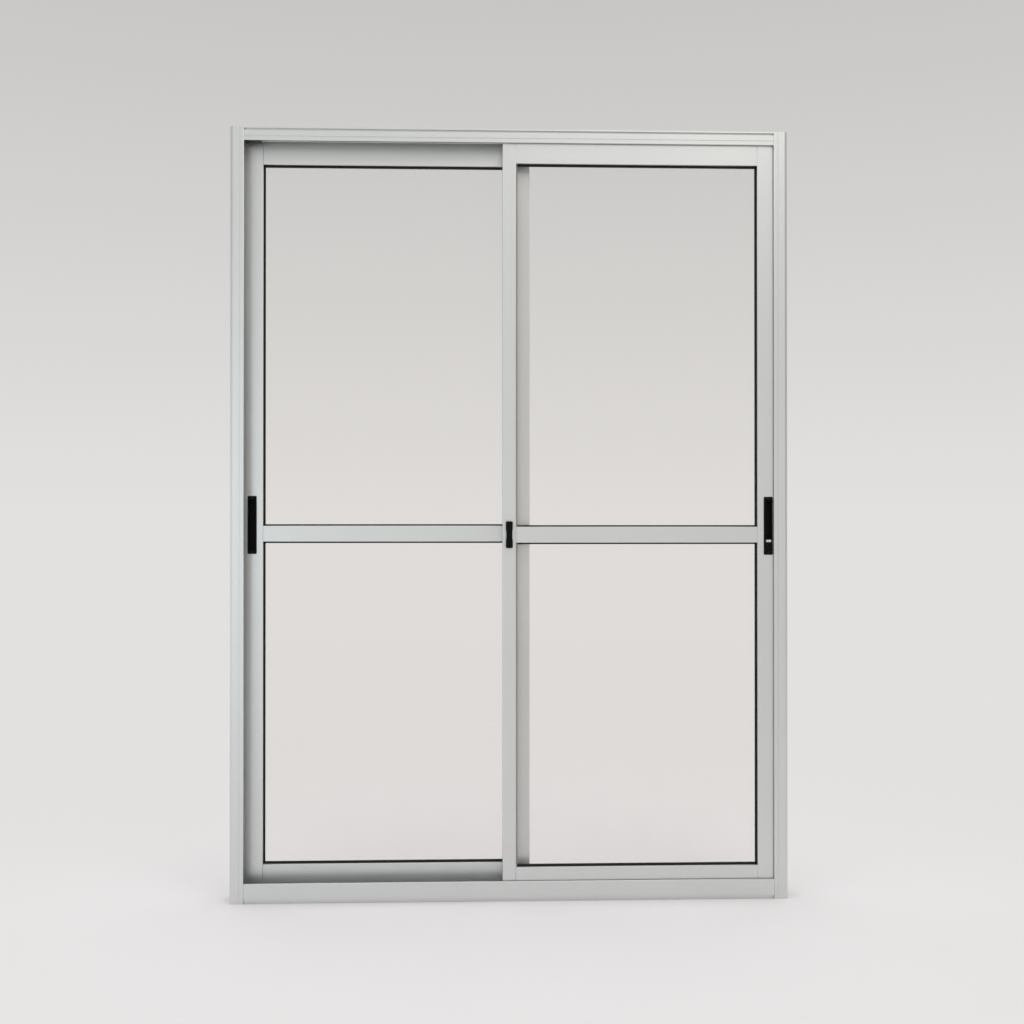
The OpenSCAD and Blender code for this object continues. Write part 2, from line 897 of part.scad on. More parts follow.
// Places of the joint screws: one stile at a time
module at_leaf_screws() {
  for (y = [-flute_y, flute_y], z = [rail_h - rail_flute_at, mid_rail_at, leaf_h - rail_h + rail_flute_at])
    translate([0, y, z])
      children();
}

// Notches that let a stile's ends over the track and the guide fin
module end_notches(x0, x1) {
  track_half = track_bead / 2 + notch_gap;
  guide_half = guide_t / 2 + notch_gap;
  box3([x0 - over, -track_half, -over], [x1 + over, track_half, track_h - leaf_rise + rear_raise + notch_gap]);
  box3([x0 - over, -guide_half, leaf_h - leaf_cover + guide_low - notch_gap - rear_raise],
    [x1 + over, guide_half, leaf_h + over]);
}

module closing_stile(with_lock) {
  difference() {
    translate([sight_out, 0, 0])
      linear_extrude(leaf_h)
        closing_section();
    end_notches(sight_out, edge_x);
    at_leaf_screws() {
      pin_x(sight_out, sight_out + pocket_floor + over, leaf_flute_id);
      pin_x(edge_x - wall_t - over, edge_x + over, access_d);
    }
    translate([pull_x, 0, pull_at]) {
      box3([-case_w / 2 - case_gap, -half_t - over, -case_h / 2 - case_gap],
        [case_w / 2 + case_gap, -half_t + case_d + case_gap, case_h / 2 + case_gap]);
      for (sz = [-1, 1])
        translate([0, 0, sz * pull_screw_z])
          pin_y(-half_t - over, -in_half + over, small_screw_d + 2 * screw_gap);
    }
    if (with_lock)
      box3([edge_x - wall_t - over, hook_y - keeper_gap, pull_at - window_low],
        [edge_x + over, hook_y + hook_t + keeper_gap, pull_at - window_top]);
  }
}

module meeting_stile(w) {
  difference() {
    translate([sight_in, 0, 0])
      mirror([1, 0, 0])
        linear_extrude(leaf_h)
          meeting_section(w);
    end_notches(sight_in - w, sight_in);
    at_leaf_screws() {
      pin_x(sight_in - pocket_floor - over, sight_in, leaf_flute_id);
      pin_x(sight_in - w - over, sight_in - w + wall_t + over, access_d);
    }
  }
}

module leaf_rail() {
  along_x(sight_in + butt_gap, sight_out - butt_gap)
    children();
}

module top_rail() {
  leaf_rail()
    translate([0, rail_top_sight])
      mirror([1, -1])
        rail_section();
}

module bottom_rail() {
  leaf_rail()
    translate([0, rail_h])
      mirror([0, 1])
        mirror([1, -1])
          rail_section();
}

module mid_rail() {
  leaf_rail()
    translate([0, mid_low])
      mirror([1, -1])
        mid_rail_section();
}

// Pane between two rail sight edges
module pane(low, top) {
  box3([sight_in - glass_bite, -glass_t / 2, low - glass_bite],
    [sight_out + glass_bite, glass_t / 2, top + glass_bite]);
}

// U gasket around a pane, bevelled where it shows
module gasket(low, top) {
  half_g = glass_t / 2 + gasket_leg;
  out = glass_bite + gasket_base;
  difference() {
    box3([sight_in - out, -half_g, low - out], [sight_out + out, half_g, top + out]);
    box3([sight_in + gasket_show, -half_g - over, low + gasket_show],
      [sight_out - gasket_show, half_g + over, top - gasket_show]);
    pane(low, top);
    for (m = [0, 1])
      mirror([0, m, 0])
        gasket_bevels(low, top, half_g);
  }
}

// Chamfer along the four showing edges of a gasket's front
module gasket_bevels(low, top, half_g) {
  mid_z = (low + top) / 2;
  mid_x = (sight_in + sight_out) / 2;
  for (m = [0, 1]) {
    translate([0, 0, mid_z])
      mirror([0, 0, m])
        along_x(sight_in + gasket_show - gasket_bevel, sight_out - gasket_show + gasket_bevel)
          translate([-half_g, (top - low) / 2 - gasket_show])
            bevel_section();
    translate([mid_x, 0, low + gasket_show - gasket_bevel])
      mirror([m, 0, 0])
        linear_extrude(top - low - 2 * (gasket_show - gasket_bevel))
          translate([day_w / 2 - gasket_show, -half_g])
            mirror([1, -1])
              bevel_section();
  }
}

module bevel_section() {
  polygon([[-over, -over], [gasket_bevel, -over], [gasket_bevel, 0], [0, gasket_bevel], [-over, gasket_bevel]]);
}

// Joint screws of a leaf: their heads bear on the pocket floors of the stiles
module leaf_screws() {
  at_leaf_screws() {
    translate([sight_out + pocket_floor, 0, 0])
      mirror([1, 0, 0])
        screw_x(pocket_floor + leaf_screw_l, leaf_screw_d, leaf_head_t, leaf_head_d);
    translate([sight_in - pocket_floor, 0, 0])
      screw_x(pocket_floor + leaf_screw_l, leaf_screw_d, leaf_head_t, leaf_head_d);
  }
}

// Guide blocks in the open top of the top rail
module top_guides(drop) {
  top = leaf_h - wall_t - insert_gap;
  slot_half = guide_t / 2 + guide_gap;
  for (x = [sight_in + butt_gap, sight_out - butt_gap - guide_block_l])
    difference() {
      box3([x, -housing_w / 2, top - guide_block_h], [x + guide_block_l, housing_w / 2, top]);
      box3([x - over, -slot_half, leaf_h - leaf_cover + guide_low - drop - guide_gap],
        [x + guide_block_l + over, slot_half, leaf_h]);
    }
}

module roller_housings() {
  slot_half = wheel_w / 2 + wheel_side;
  for (x = roller_xs)
    translate([x, 0, 0])
      difference() {
        box3([-housing_l / 2, -housing_w / 2, housing_low], [housing_l / 2, housing_w / 2, housing_top]);
        box3([-wheel_out_r - over, -slot_half, housing_low - over],
          [wheel_out_r + over, slot_half, axle_z + wheel_out_r + over]);
        box3([-housing_l / 2 - over, -slot_half, housing_low - over],
          [housing_l / 2 + over, slot_half, track_h + rear_raise - leaf_rise + notch_gap]);
        translate([0, 0, axle_z])
          pin_y(-housing_w / 2 - over, housing_w / 2 + over, axle_d + 2 * run_gap);
      }
}

module roller_axles() {
  for (x = roller_xs)
    translate([x, 0, axle_z])
      pin_y(-housing_w / 2, housing_w / 2, axle_d);
}

module wheel(x) {
  translate([x, 0, axle_z])
    rotate([90, 0, 0])
      rotate_extrude()
        difference() {
          box2(axle_d / 2 + run_gap, -wheel_w / 2, wheel_out_r, wheel_w / 2);
          translate([wheel_r + wheel_groove_r, 0])
            circle(wheel_groove_r);
        }
}

// Plate and case of a flush pull, cut out by its finger recess
module pull_shell(low) {
  translate([pull_x, 0, pull_at])
    difference() {
      union() {
        along_y(plate_y, -half_t)
          rounded_box2(pull_w, pull_h, pull_r);
        box3([-case_w / 2, -half_t - pull_t / 2, -case_h / 2], [case_w / 2, -half_t + case_d, case_h / 2]);
      }
      translate([0, 0, (recess_top - low) / 2])
        along_y(plate_y - over, -half_t + case_d - case_t)
          rounded_box2(recess_w, recess_top + low, recess_r);
      for (sz = [-1, 1])
        translate([0, 0, sz * pull_screw_z]) {
          pin_y(plate_y - over, -half_t + over, small_screw_d + 2 * screw_gap);
          pin_y(plate_y - over, plate_y + small_head_t, small_head_d + 2 * screw_gap);
        }
    }
}

module pull_screws() {
  for (sz = [-1, 1])
    translate([pull_x, plate_y + small_head_t, pull_at + sz * pull_screw_z])
      screw_y(small_screw_l, small_screw_d, small_head_t, small_head_d);
}

// Interlock strip on the back of the front leaf's meeting stile: root, reach and turned edge
module interlock() {
  root = -meet_x;
  linear_extrude(leaf_h - leaf_cover - sill_h) {
    box2(root, half_t, root + hookstrip_turn, half_t + hookstrip_t);
    box2(root, half_t, root + hookstrip_t, half_t + hookstrip_reach);
    box2(root, half_t + hookstrip_reach - hookstrip_t, root + hookstrip_turn, half_t + hookstrip_reach);
  }
}

// Left leaf, on the rear track

module left_closing_stile() {
  color("silver")
    at_rear_leaf()
      closing_stile(false);
}

module left_meeting_stile() {
  color("silver")
    at_rear_leaf()
      meeting_stile(rear_meet_w);
}

module left_top_rail() {
  color("silver")
    at_rear_leaf()
      top_rail();
}

module left_mid_rail() {
  color("silver")
    at_rear_leaf()
      mid_rail();
}

module left_bottom_rail() {
  color("silver")
    at_rear_leaf()
      bottom_rail();
}

module left_upper_glass() {
  color("gainsboro", 0.4)
    at_rear_leaf()
      pane(mid_top, rail_top_sight);
}

module left_lower_glass() {
  color("gainsboro", 0.4)
    at_rear_leaf()
      pane(rail_h, mid_low);
}

module left_upper_gasket() {
  color("black")
    at_rear_leaf()
      gasket(mid_top, rail_top_sight);
}

module left_lower_gasket() {
  color("black")
    at_rear_leaf()
      gasket(rail_h, mid_low);
}

module left_leaf_screws() {
  color("gainsboro")
    at_rear_leaf()
      leaf_screws();
}

module left_pull() {
  color("black")
    at_rear_leaf()
      pull_shell(recess_top);
}

module left_pull_screws() {
  color("black")
    at_rear_leaf()
      pull_screws();
}

module left_top_guides() {
  color("black")
    at_rear_leaf()
      top_guides(rear_raise);
}

module left_roller_housings() {
  color("dimgray")
    at_rear_leaf()
      roller_housings();
}

module left_roller_axles() {
  color("gainsboro")
    at_rear_leaf()
      roller_axles();
}

module left_outer_wheel() {
  color("whitesmoke")
    at_rear_leaf()
      wheel(roller_xs[0]);
}

module left_inner_wheel() {
  color("whitesmoke")
    at_rear_leaf()
      wheel(roller_xs[1]);
}

module left_interlock() {
  color("silver")
    translate([hookstrip_span - 2 * meet_x, 0, sill_h + rear_raise])
      mirror([1, 0, 0])
        translate([0, track_y, 0])
          mirror([0, 1, 0])
            interlock();
}

// Keeper on the front of the rear leaf's meeting stile, with a post for the cam
module latch_keeper() {
  mid_x = post_x + post_w / 2;
  mid_z = post_z + post_h / 2;
  color("black") {
    box3([mid_x - post_plate_w / 2, rear_face - post_plate_t, mid_z - post_plate_w / 2],
      [mid_x + post_plate_w / 2, rear_face, mid_z + post_plate_w / 2]);
    box3([post_x, leaf_back + cam_gap, post_z], [post_x + post_w, rear_face - post_plate_t / 2, post_z + post_h]);
  }
}

// Right leaf, on the front track

module right_closing_stile() {
  color("silver")
    at_front_leaf()
      closing_stile(true);
}

module right_meeting_stile() {
  color("silver")
    at_front_leaf()
      difference() {
        meeting_stile(front_meet_w);
        translate([latch_x, 0, pivot_z]) {
          pin_y(-half_t - over, -in_half + over, bush_d + 2 * screw_gap);
          pin_y(-half_t, half_t + over, spindle_d + 2 * screw_gap);
        }
      }
}

module right_top_rail() {
  color("silver")
    at_front_leaf()
      top_rail();
}

module right_mid_rail() {
  color("silver")
    at_front_leaf()
      mid_rail();
}

module right_bottom_rail() {
  color("silver")
    at_front_leaf()
      bottom_rail();
}

module right_upper_glass() {
  color("gainsboro", 0.4)
    at_front_leaf()
      pane(mid_top, rail_top_sight);
}

module right_lower_glass() {
  color("gainsboro", 0.4)
    at_front_leaf()
      pane(rail_h, mid_low);
}

module right_upper_gasket() {
  color("black")
    at_front_leaf()
      gasket(mid_top, rail_top_sight);
}

module right_lower_gasket() {
  color("black")
    at_front_leaf()
      gasket(rail_h, mid_low);
}

module right_leaf_screws() {
  color("gainsboro")
    at_front_leaf()
      leaf_screws();
}

// Flush pull with a finger recess above and a chamber for the lock below
module lock_case() {
  slot_half = neck_h / 2 + slide_gap;
  color("black")
    at_front_leaf()
      difference() {
        pull_shell(recess_low);
        translate([pull_x, 0, pull_at]) {
          box3([-recess_w / 2, -half_t + case_t, -case_h / 2 + case_t],
            [recess_w / 2, -half_t + case_d + over, -chamber_top]);
          box3([-neck_w / 2 - slide_gap, plate_y - over, -thumb_low - lock_travel - slot_half],
            [neck_w / 2 + slide_gap, -half_t + case_t + over, -thumb_low + slot_half]);
          box3([0, hook_y - slide_gap, -window_low], [case_w / 2 + over, hook_y + hook_t + slide_gap, -window_top]);
        }
      }
}

module lock_case_screws() {
  color("black")
    at_front_leaf()
      pull_screws();
}

module right_top_guides() {
  color("black")
    at_front_leaf()
      top_guides(0);
}

module right_roller_housings() {
  color("dimgray")
    at_front_leaf()
      roller_housings();
}

module right_roller_axles() {
  color("gainsboro")
    at_front_leaf()
      roller_axles();
}

module right_outer_wheel() {
  color("whitesmoke")
    at_front_leaf()
      wheel(roller_xs[0]);
}

module right_inner_wheel() {
  color("whitesmoke")
    at_front_leaf()
      wheel(roller_xs[1]);
}

module right_interlock() {
  color("silver")
    translate([0, -track_y, sill_h])
      interlock();
}

// Collared bush that carries the latch spindle in the stile's wall
module latch_bush() {
  color("black")
    at_front_leaf()
      translate([latch_x, 0, pivot_z])
        difference() {
          union() {
            pin_y(lever_back + slide_gap, -half_t, bush_collar_d);
            pin_y(-half_t - bush_collar / 2, -in_half, bush_d);
          }
          pin_y(lever_back, -in_half + over, spindle_d + 2 * run_gap);
        }
}

// Lock and centre latch

// Thumb slide on the front of the lock case, with the neck that reaches the hook bolt
module lock_thumb() {
  color("silver")
    at_front_leaf()
      translate([pull_x, 0, pull_at - thumb_low]) {
        along_y(plate_y - slide_gap - thumb_t, plate_y - slide_gap)
          rounded_box2(thumb_w, thumb_h, thumb_r);
        box3([-neck_w / 2, plate_y - slide_gap - thumb_t / 2, -neck_h / 2], [neck_w / 2, hook_y, neck_h / 2]);
      }
}

// Flat hook bolt: driver plate behind the thumb slide, arm through the stile's edge, nib that drops
module lock_hook() {
  driver_half = recess_w / 2 - 2 * slide_gap;
  color("gainsboro")
    at_front_leaf()
      translate([0, 0, pull_at])
        along_y(hook_y, hook_y + hook_t) {
          box2(pull_x - driver_half, -arm_low, pull_x + driver_half, -chamber_top - slide_gap);
          box2(pull_x, -arm_low, hook_tip, -arm_low + hook_h);
          box2(hook_tip - nib_l, -arm_low - nib_h, hook_tip, -arm_low + hook_h);
        }
}

// Waisted lever that hangs from its spindle
module latch_lever() {
  rise = (lever_w - lever_waist) / 2;
  waist_r = (lever_l * lever_l / 16 + rise * rise) / (2 * rise);
  color("black")
    at_front_leaf()
      translate([latch_x, 0, pivot_z]) {
        translate([0, 0, lever_pivot - lever_l / 2])
          along_y(lever_back - lever_t, lever_back)
            difference() {
              rounded_box2(lever_w, lever_l, lever_r);
              for (sx = [-1, 1])
                translate([sx * (lever_waist / 2 + waist_r), 0])
                  circle(waist_r, $fn = 180);
            }
        pin_y(lever_back - lever_t / 2, cam_y + cam_t, spindle_d);
      }
}

// Cam on the back of the front leaf: arm that hangs down, tooth on its leading side
module latch_cam() {
  color("gainsboro")
    at_front_leaf()
      translate([latch_x, 0, pivot_z])
        difference() {
          along_y(cam_y, cam_y + cam_t) {
            circle(cam_hub_r);
            box2(-cam_half, -cam_reach - cam_tooth, cam_half, 0);
            box2(-cam_half, -cam_reach - cam_tooth, cam_half + cam_tooth_h, -cam_reach);
          }
          pin_y(cam_y - over, cam_y + cam_t + over, spindle_d + 2 * run_gap);
        }
}

left_jamb();
right_jamb();
head();
sill();
frame_screws();
head_front_pile();
head_rear_pile();
sill_front_pile();
sill_rear_pile();
left_jamb_pile();
right_jamb_pile();
jamb_buffers();
travel_stops();
lock_keeper();
keeper_screws();
left_closing_stile();
left_meeting_stile();
left_top_rail();
left_mid_rail();
left_bottom_rail();
left_upper_glass();
left_lower_glass();
left_upper_gasket();
left_lower_gasket();
left_leaf_screws();
left_pull();
left_pull_screws();
left_top_guides();
left_roller_housings();
left_roller_axles();
left_outer_wheel();
left_inner_wheel();
left_interlock();
latch_keeper();
right_closing_stile();
right_meeting_stile();
right_top_rail();
right_mid_rail();
right_bottom_rail();
right_upper_glass();
right_lower_glass();
right_upper_gasket();
right_lower_gasket();
right_leaf_screws();
lock_case();
lock_case_screws();
right_top_guides();
right_roller_housings();
right_roller_axles();
right_outer_wheel();
right_inner_wheel();
right_interlock();
latch_bush();
lock_thumb();
lock_hook();
latch_lever();
latch_cam();
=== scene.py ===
"""Looks of a pair of sliding french windows: finishes, brush seals, screws, fittings and the studio."""

import math
import random

import bmesh
import bpy
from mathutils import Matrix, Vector


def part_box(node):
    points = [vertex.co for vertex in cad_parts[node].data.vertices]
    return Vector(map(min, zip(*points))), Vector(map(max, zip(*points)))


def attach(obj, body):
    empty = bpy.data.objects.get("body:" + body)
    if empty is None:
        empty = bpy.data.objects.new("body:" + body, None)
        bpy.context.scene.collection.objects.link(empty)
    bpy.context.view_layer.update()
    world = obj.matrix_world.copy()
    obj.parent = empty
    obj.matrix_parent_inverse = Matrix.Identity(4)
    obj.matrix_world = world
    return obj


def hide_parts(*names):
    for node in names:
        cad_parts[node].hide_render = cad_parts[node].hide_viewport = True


bl_info = {
    "name": "Sliding French Windows",
    "version": (1, 0, 0),
    "blender": (4, 5, 0),
    "location": "View3D > Sidebar > French Windows",
    "description": "Finishes, brush seals and small fittings for a pair of sliding french windows",
    "category": "Object",
}

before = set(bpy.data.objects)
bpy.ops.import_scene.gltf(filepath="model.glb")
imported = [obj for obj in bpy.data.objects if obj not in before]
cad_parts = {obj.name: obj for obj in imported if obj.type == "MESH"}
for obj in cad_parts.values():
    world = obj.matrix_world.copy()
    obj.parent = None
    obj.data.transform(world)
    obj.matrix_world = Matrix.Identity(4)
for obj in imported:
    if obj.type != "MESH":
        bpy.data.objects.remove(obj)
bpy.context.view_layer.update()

MM = 0.001
# Vertices of a solid that lie closer than this are one vertex
WELD_GAP = 0.001 * MM
# Edges sharper than this catch the light on a softened piece
SOFT_EDGE_ANGLE = math.radians(35)
SEED = 11

# Share of the light that one face of a pane mirrors when it is seen head-on
HEAD_ON_MIRROR = 0.034
PANE_ROUGHNESS = 0.03
# Dust on the panes: its colour, and the most of a face that it hides
DUST_COLOUR = (0.80, 0.79, 0.77, 1.0)
DUST_SHARE = 0.030
# Part of an anodised skin that reflects as bare metal
ANODISED_METALLIC = 0.88
# Tint of the warm patches in a plated skin
BLOOM_TINT = (1.02, 1.0, 0.93)
PILE_ROUGHNESS = 0.85
# Die lines of an extrusion in a metre, across its length and along it
DIE_LINES_ACROSS = 900
DIE_LINES_ALONG = 1.5

UPRIGHT_MEMBERS = (
    "left_jamb",
    "right_jamb",
    "left_closing_stile",
    "left_meeting_stile",
    "right_closing_stile",
    "right_meeting_stile",
    "left_interlock",
    "right_interlock",
)
LEVEL_MEMBERS = (
    "head",
    "sill",
    "left_top_rail",
    "left_mid_rail",
    "left_bottom_rail",
    "right_top_rail",
    "right_mid_rail",
    "right_bottom_rail",
)
PANES = ("left_upper_glass", "left_lower_glass", "right_upper_glass", "right_lower_glass")
GASKETS = ("left_upper_gasket", "left_lower_gasket")
# Gaskets that show a pale lip along the meeting stile
LIPPED_GASKETS = ("right_upper_gasket", "right_lower_gasket")
# Brush seals, each with the direction from its backing towards the leaf
BRUSH_SEALS = {
    "head_front_pile": Vector((0, 1, 0)),
    "head_rear_pile": Vector((0, -1, 0)),
    "sill_front_pile": Vector((0, 1, 0)),
    "sill_rear_pile": Vector((0, -1, 0)),
    "left_jamb_pile": Vector((0, -1, 0)),
    "right_jamb_pile": Vector((0, 1, 0)),
}
BLACK_FITTINGS = ("left_pull", "lock_case", "latch_bush", "latch_keeper")
BLACK_BLOCKS = ("travel_stops", "left_top_guides", "right_top_guides")
BUFFERS = ("jamb_buffers",)
HOUSINGS = ("left_roller_housings", "right_roller_housings")
WHEELS = ("left_outer_wheel", "left_inner_wheel", "right_outer_wheel", "right_inner_wheel")
STEEL_PIECES = ("lock_keeper", "latch_cam", "left_roller_axles", "right_roller_axles")
# Steel pieces whose colour is darkened to a painted shade, standing in for the shade inside the lock's
# thumb slot
SHADE_DARKENED_PIECES = ("lock_hook",)
# Screw nodes, each with the body that carries it
STEEL_SCREWS = {
    "frame_screws": "frame",
    "keeper_screws": "frame",
    "left_leaf_screws": "left_leaf",
    "right_leaf_screws": "right_leaf",
}
BLACK_SCREWS = {"left_pull_screws": "left_leaf", "lock_case_screws": "right_leaf"}


class Channel:
    """A socket of a node tree: an expression on it adds the Math nodes that work it out."""

    def __init__(self, tree, socket):
        self.tree = tree
        self.socket = socket

    def _math(self, operation, first, second):
        return self.tree.node("ShaderNodeMath", {"operation": operation}, {0: first, 1: second})

    def __add__(self, other):
        return self._math("ADD", self, other)

    __radd__ = __add__

    def __sub__(self, other):
        return self._math("SUBTRACT", self, other)

    def __rsub__(self, other):
        return self._math("SUBTRACT", other, self)

    def __mul__(self, other):
        return self._math("MULTIPLY", self, other)

    __rmul__ = __mul__

    def __abs__(self):
        return self._math("ABSOLUTE", self, 0.0)


class Tree:
    """A node tree that is written as expressions."""

    def __init__(self, tree):
        self.tree = tree
        tree.nodes.clear()

    def node(self, kind, settings=None, sockets=None, out=0):
        """Adds a node, its settings first, then the values or links of its sockets."""
        node = self.tree.nodes.new(kind)
        for name, value in (settings or {}).items():
            if name == "stops":
                self._set_stops(node.color_ramp.elements, value)
            else:
                setattr(node, name, value)
        for name, value in (sockets or {}).items():
            if isinstance(value, Channel):
                self.tree.links.new(value.socket, node.inputs[name])
            else:
                node.inputs[name].default_value = value
        return Channel(self, node.outputs[out]) if node.outputs else None

    @staticmethod
    def _set_stops(elements, stops):
        while len(elements) < len(stops):
            elements.new(1.0)
        for element, (place, colour) in zip(elements, stops):
            element.position = place
            element.color = colour

    def place(self):
        """Where a point lies on the part at rest, in metres."""
        return self.node("ShaderNodeTexCoord", out="Object")

    def noise(self, place, per_metre, detail=2.0):
        """Cloudy noise with its own number of cells in a metre along each axis."""
        settings = {"operation": "MULTIPLY"}
        stretched = self.node("ShaderNodeVectorMath", settings, {0: place, 1: per_metre})
        return self.node("ShaderNodeTexNoise", None, {"Vector": stretched, "Scale": 1.0, "Detail": detail})

    def blend(self, factor, first, second):
        """Goes from the first colour to the second as the factor goes from 0 to 1."""
        sockets = {0: factor, 6: first, 7: second}
        return self.node("ShaderNodeMix", {"data_type": "RGBA"}, sockets, out=2)

    def tones(self, factor, colour, darkest, lightest):
        """One colour that goes from its darkest share to its lightest."""
        return self.blend(factor, shade(colour, darkest), shade(colour, lightest))

    def bump(self, height, strength, depth):
        sockets = {"Height": height, "Strength": strength, "Distance": depth}
        return self.node("ShaderNodeBump", None, sockets)


def shade(colour, share):
    """A colour made lighter or darker by a share."""
    return tuple(channel * share for channel in colour[:3]) + (1.0,)


def weigh(first, second, share):
    """A share of the first value and the rest of the second."""
    return first * share + second * (1.0 - share)


def swing(noise, span):
    """A noise as a change of up to half the span either way."""
    return (noise - 0.5) * span


def new_finish(name):
    material = bpy.data.materials.new(name)
    material.use_nodes = True
    return material, Tree(material.node_tree)


def close_finish(tree, surface):
    tree.node("ShaderNodeOutputMaterial", None, {"Surface": surface})


def close_principled(tree, sockets):
    close_finish(tree, tree.node("ShaderNodeBsdfPrincipled", None, sockets))


def satin_aluminium(name, colour, roughness, die_lines):
    """Etched and anodised extrusion: faint die lines along its length, fine grain, slow changes of tone."""
    material, tree = new_finish(name)
    place = tree.place()
    lines = tree.noise(place, per_metre=die_lines, detail=3.0)
    grain = tree.noise(place, per_metre=(2600, 2600, 2600), detail=1.0)
    tone = tree.noise(place, per_metre=(2.2, 2.2, 2.2), detail=2.0)
    clouds = weigh(tone, lines, share=0.6)
    relief = weigh(lines, grain, share=0.6)
    close_principled(
        tree,
        {
            "Base Color": tree.tones(clouds, colour, darkest=0.93, lightest=1.06),
            "Metallic": ANODISED_METALLIC,
            "Roughness": roughness + swing(lines, span=0.16) + swing(grain, span=0.08),
            "Normal": tree.bump(relief, strength=0.10, depth=0.15 * MM),
        },
    )
    return material


def clear_glass(tint):
    """Float glass: clear with a faint tint, a mirror that grows towards a grazing view, a trace of dust."""
    material, tree = new_finish("float_glass")
    place = tree.place()
    dust = tree.noise(place, per_metre=(9, 9, 4), detail=5.0)
    roll = tree.noise(place, per_metre=(1.4, 1.4, 3.1), detail=1.0)
    wave = tree.bump(roll, strength=0.02, depth=1.0 * MM)
    white = (1.0, 1.0, 1.0, 1.0)
    skin = {"Color": white, "Roughness": PANE_ROUGHNESS, "Normal": wave}
    gloss = tree.node("ShaderNodeBsdfGlossy", None, skin)
    clear = tree.node("ShaderNodeBsdfTransparent", None, {"Color": tint})
    film = tree.node("ShaderNodeBsdfDiffuse", None, {"Color": DUST_COLOUR})
    slant = tree.node("ShaderNodeLayerWeight", None, {"Blend": 0.5}, out="Facing")
    steep = slant * slant
    mirror = steep * steep * slant * (1.0 - HEAD_ON_MIRROR) + HEAD_ON_MIRROR
    glazed = tree.node("ShaderNodeMixShader", None, {0: mirror, 1: clear, 2: gloss})
    close_finish(tree, tree.node("ShaderNodeMixShader", None, {0: dust * DUST_SHARE, 1: glazed, 2: film}))
    return material


def moulded(name, colour, roughness, grain_per_metre, grain_depth, sheen=0.5, lip=None):
    """Moulded rubber or plastic: spark-grained skin with a slow change of gloss.

    A lip is a place on the X axis and the colour of the skin to the left of it.
    """
    material, tree = new_finish(name)
    place = tree.place()
    grain = tree.noise(place, per_metre=(grain_per_metre,) * 3, detail=2.0)
    gloss = tree.noise(place, per_metre=(35, 35, 35), detail=2.0)
    mottle = weigh(grain, gloss, share=0.7)
    skin = tree.tones(mottle, colour, darkest=0.75, lightest=1.3)
    if lip:
        edge, lip_colour = lip
        across = tree.node("ShaderNodeSeparateXYZ", None, {0: place}, out="X")
        span = {"Value": across, "From Min": edge - MM, "From Max": edge}
        beyond = tree.node("ShaderNodeMapRange", None, span)
        skin = tree.blend(beyond, tree.tones(mottle, lip_colour, darkest=0.75, lightest=1.3), skin)
    close_principled(
        tree,
        {
            "Base Color": skin,
            "Roughness": roughness + swing(gloss, span=0.14) + swing(grain, span=0.08),
            "Normal": tree.bump(grain, strength=0.25, depth=grain_depth),
            "Specular IOR Level": sheen,
        },
    )
    return material


def plated_steel(name, colour, roughness):
    """Zinc-plated steel: drawn lines and a cloudy passivated bloom."""
    material, tree = new_finish(name)
    place = tree.place()
    bloom = tree.noise(place, per_metre=(160, 160, 160), detail=3.0)
    drawn = tree.noise(place, per_metre=(3000, 3000, 260), detail=2.0)
    warm = tuple(channel * tint for channel, tint in zip(colour, BLOOM_TINT)) + (1.0,)
    close_principled(
        tree,
        {
            "Base Color": tree.blend(bloom, shade(colour, share=0.86), warm),
            "Metallic": 1.0,
            "Roughness": roughness + swing(bloom, span=0.2) + swing(drawn, span=0.1),
            "Normal": tree.bump(drawn, strength=0.12, depth=0.1 * MM),
        },
    )
    return material


def woven_pile(colour):
    """Pile of dark siliconised yarn: strands that differ in tone."""
    material, tree = new_finish("brush_pile")
    place = tree.place()
    strand = tree.noise(place, per_metre=(1500, 300, 1500), detail=2.0)
    close_principled(
        tree,
        {
            "Base Color": tree.tones(strand, colour, darkest=0.55, lightest=1.5),
            "Roughness": PILE_ROUGHNESS + swing(strand, span=0.2),
            "Normal": tree.bump(strand, strength=0.4, depth=0.2 * MM),
            "Sheen Weight": 0.3,
        },
    )
    return material


def dress(node, material, soft_edge=0.0):
    """Gives a CAD node its finish, and rounds its sharp edges by soft_edge."""
    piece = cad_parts[node]
    piece.data.materials.clear()
    piece.data.materials.append(material)
    if soft_edge <= 0.0:
        return
    weld = piece.modifiers.new("weld", "WELD")
    weld.merge_threshold = WELD_GAP
    bevel = piece.modifiers.new("soft_edge", "BEVEL")
    bevel.width = soft_edge
    bevel.segments = 2
    bevel.limit_method = "ANGLE"
    bevel.angle_limit = SOFT_EDGE_ANGLE
    bevel.harden_normals = True


def new_piece(name, bm, material, body, slot, replaced):
    """A mesh piece that stands for a CAD node and rides on its body."""
    bmesh.ops.recalc_face_normals(bm, faces=bm.faces)
    mesh = bpy.data.meshes.new(name)
    bm.to_mesh(mesh)
    bm.free()
    mesh.materials.append(material)
    piece = bpy.data.objects.new(name, mesh)
    bpy.context.scene.collection.objects.link(piece)
    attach(piece, body)
    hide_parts(replaced)


def islands(node):
    """The welded vertices of each separate solid in a CAD node."""
    bm = bmesh.new()
    bm.from_mesh(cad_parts[node].data)
    bmesh.ops.remove_doubles(bm, verts=bm.verts, dist=WELD_GAP)
    left = set(bm.verts)
    groups = []
    while left:
        start = left.pop()
        group, front = [start.co.copy()], [start]
        while front:
            for edge in front.pop().link_edges:
                for vert in edge.verts:
                    if vert in left:
                        left.remove(vert)
                        group.append(vert.co.copy())
                        front.append(vert)
        groups.append(group)
    bm.free()
    if not groups:
        raise RuntimeError(f"{node} holds no solid")
    return groups


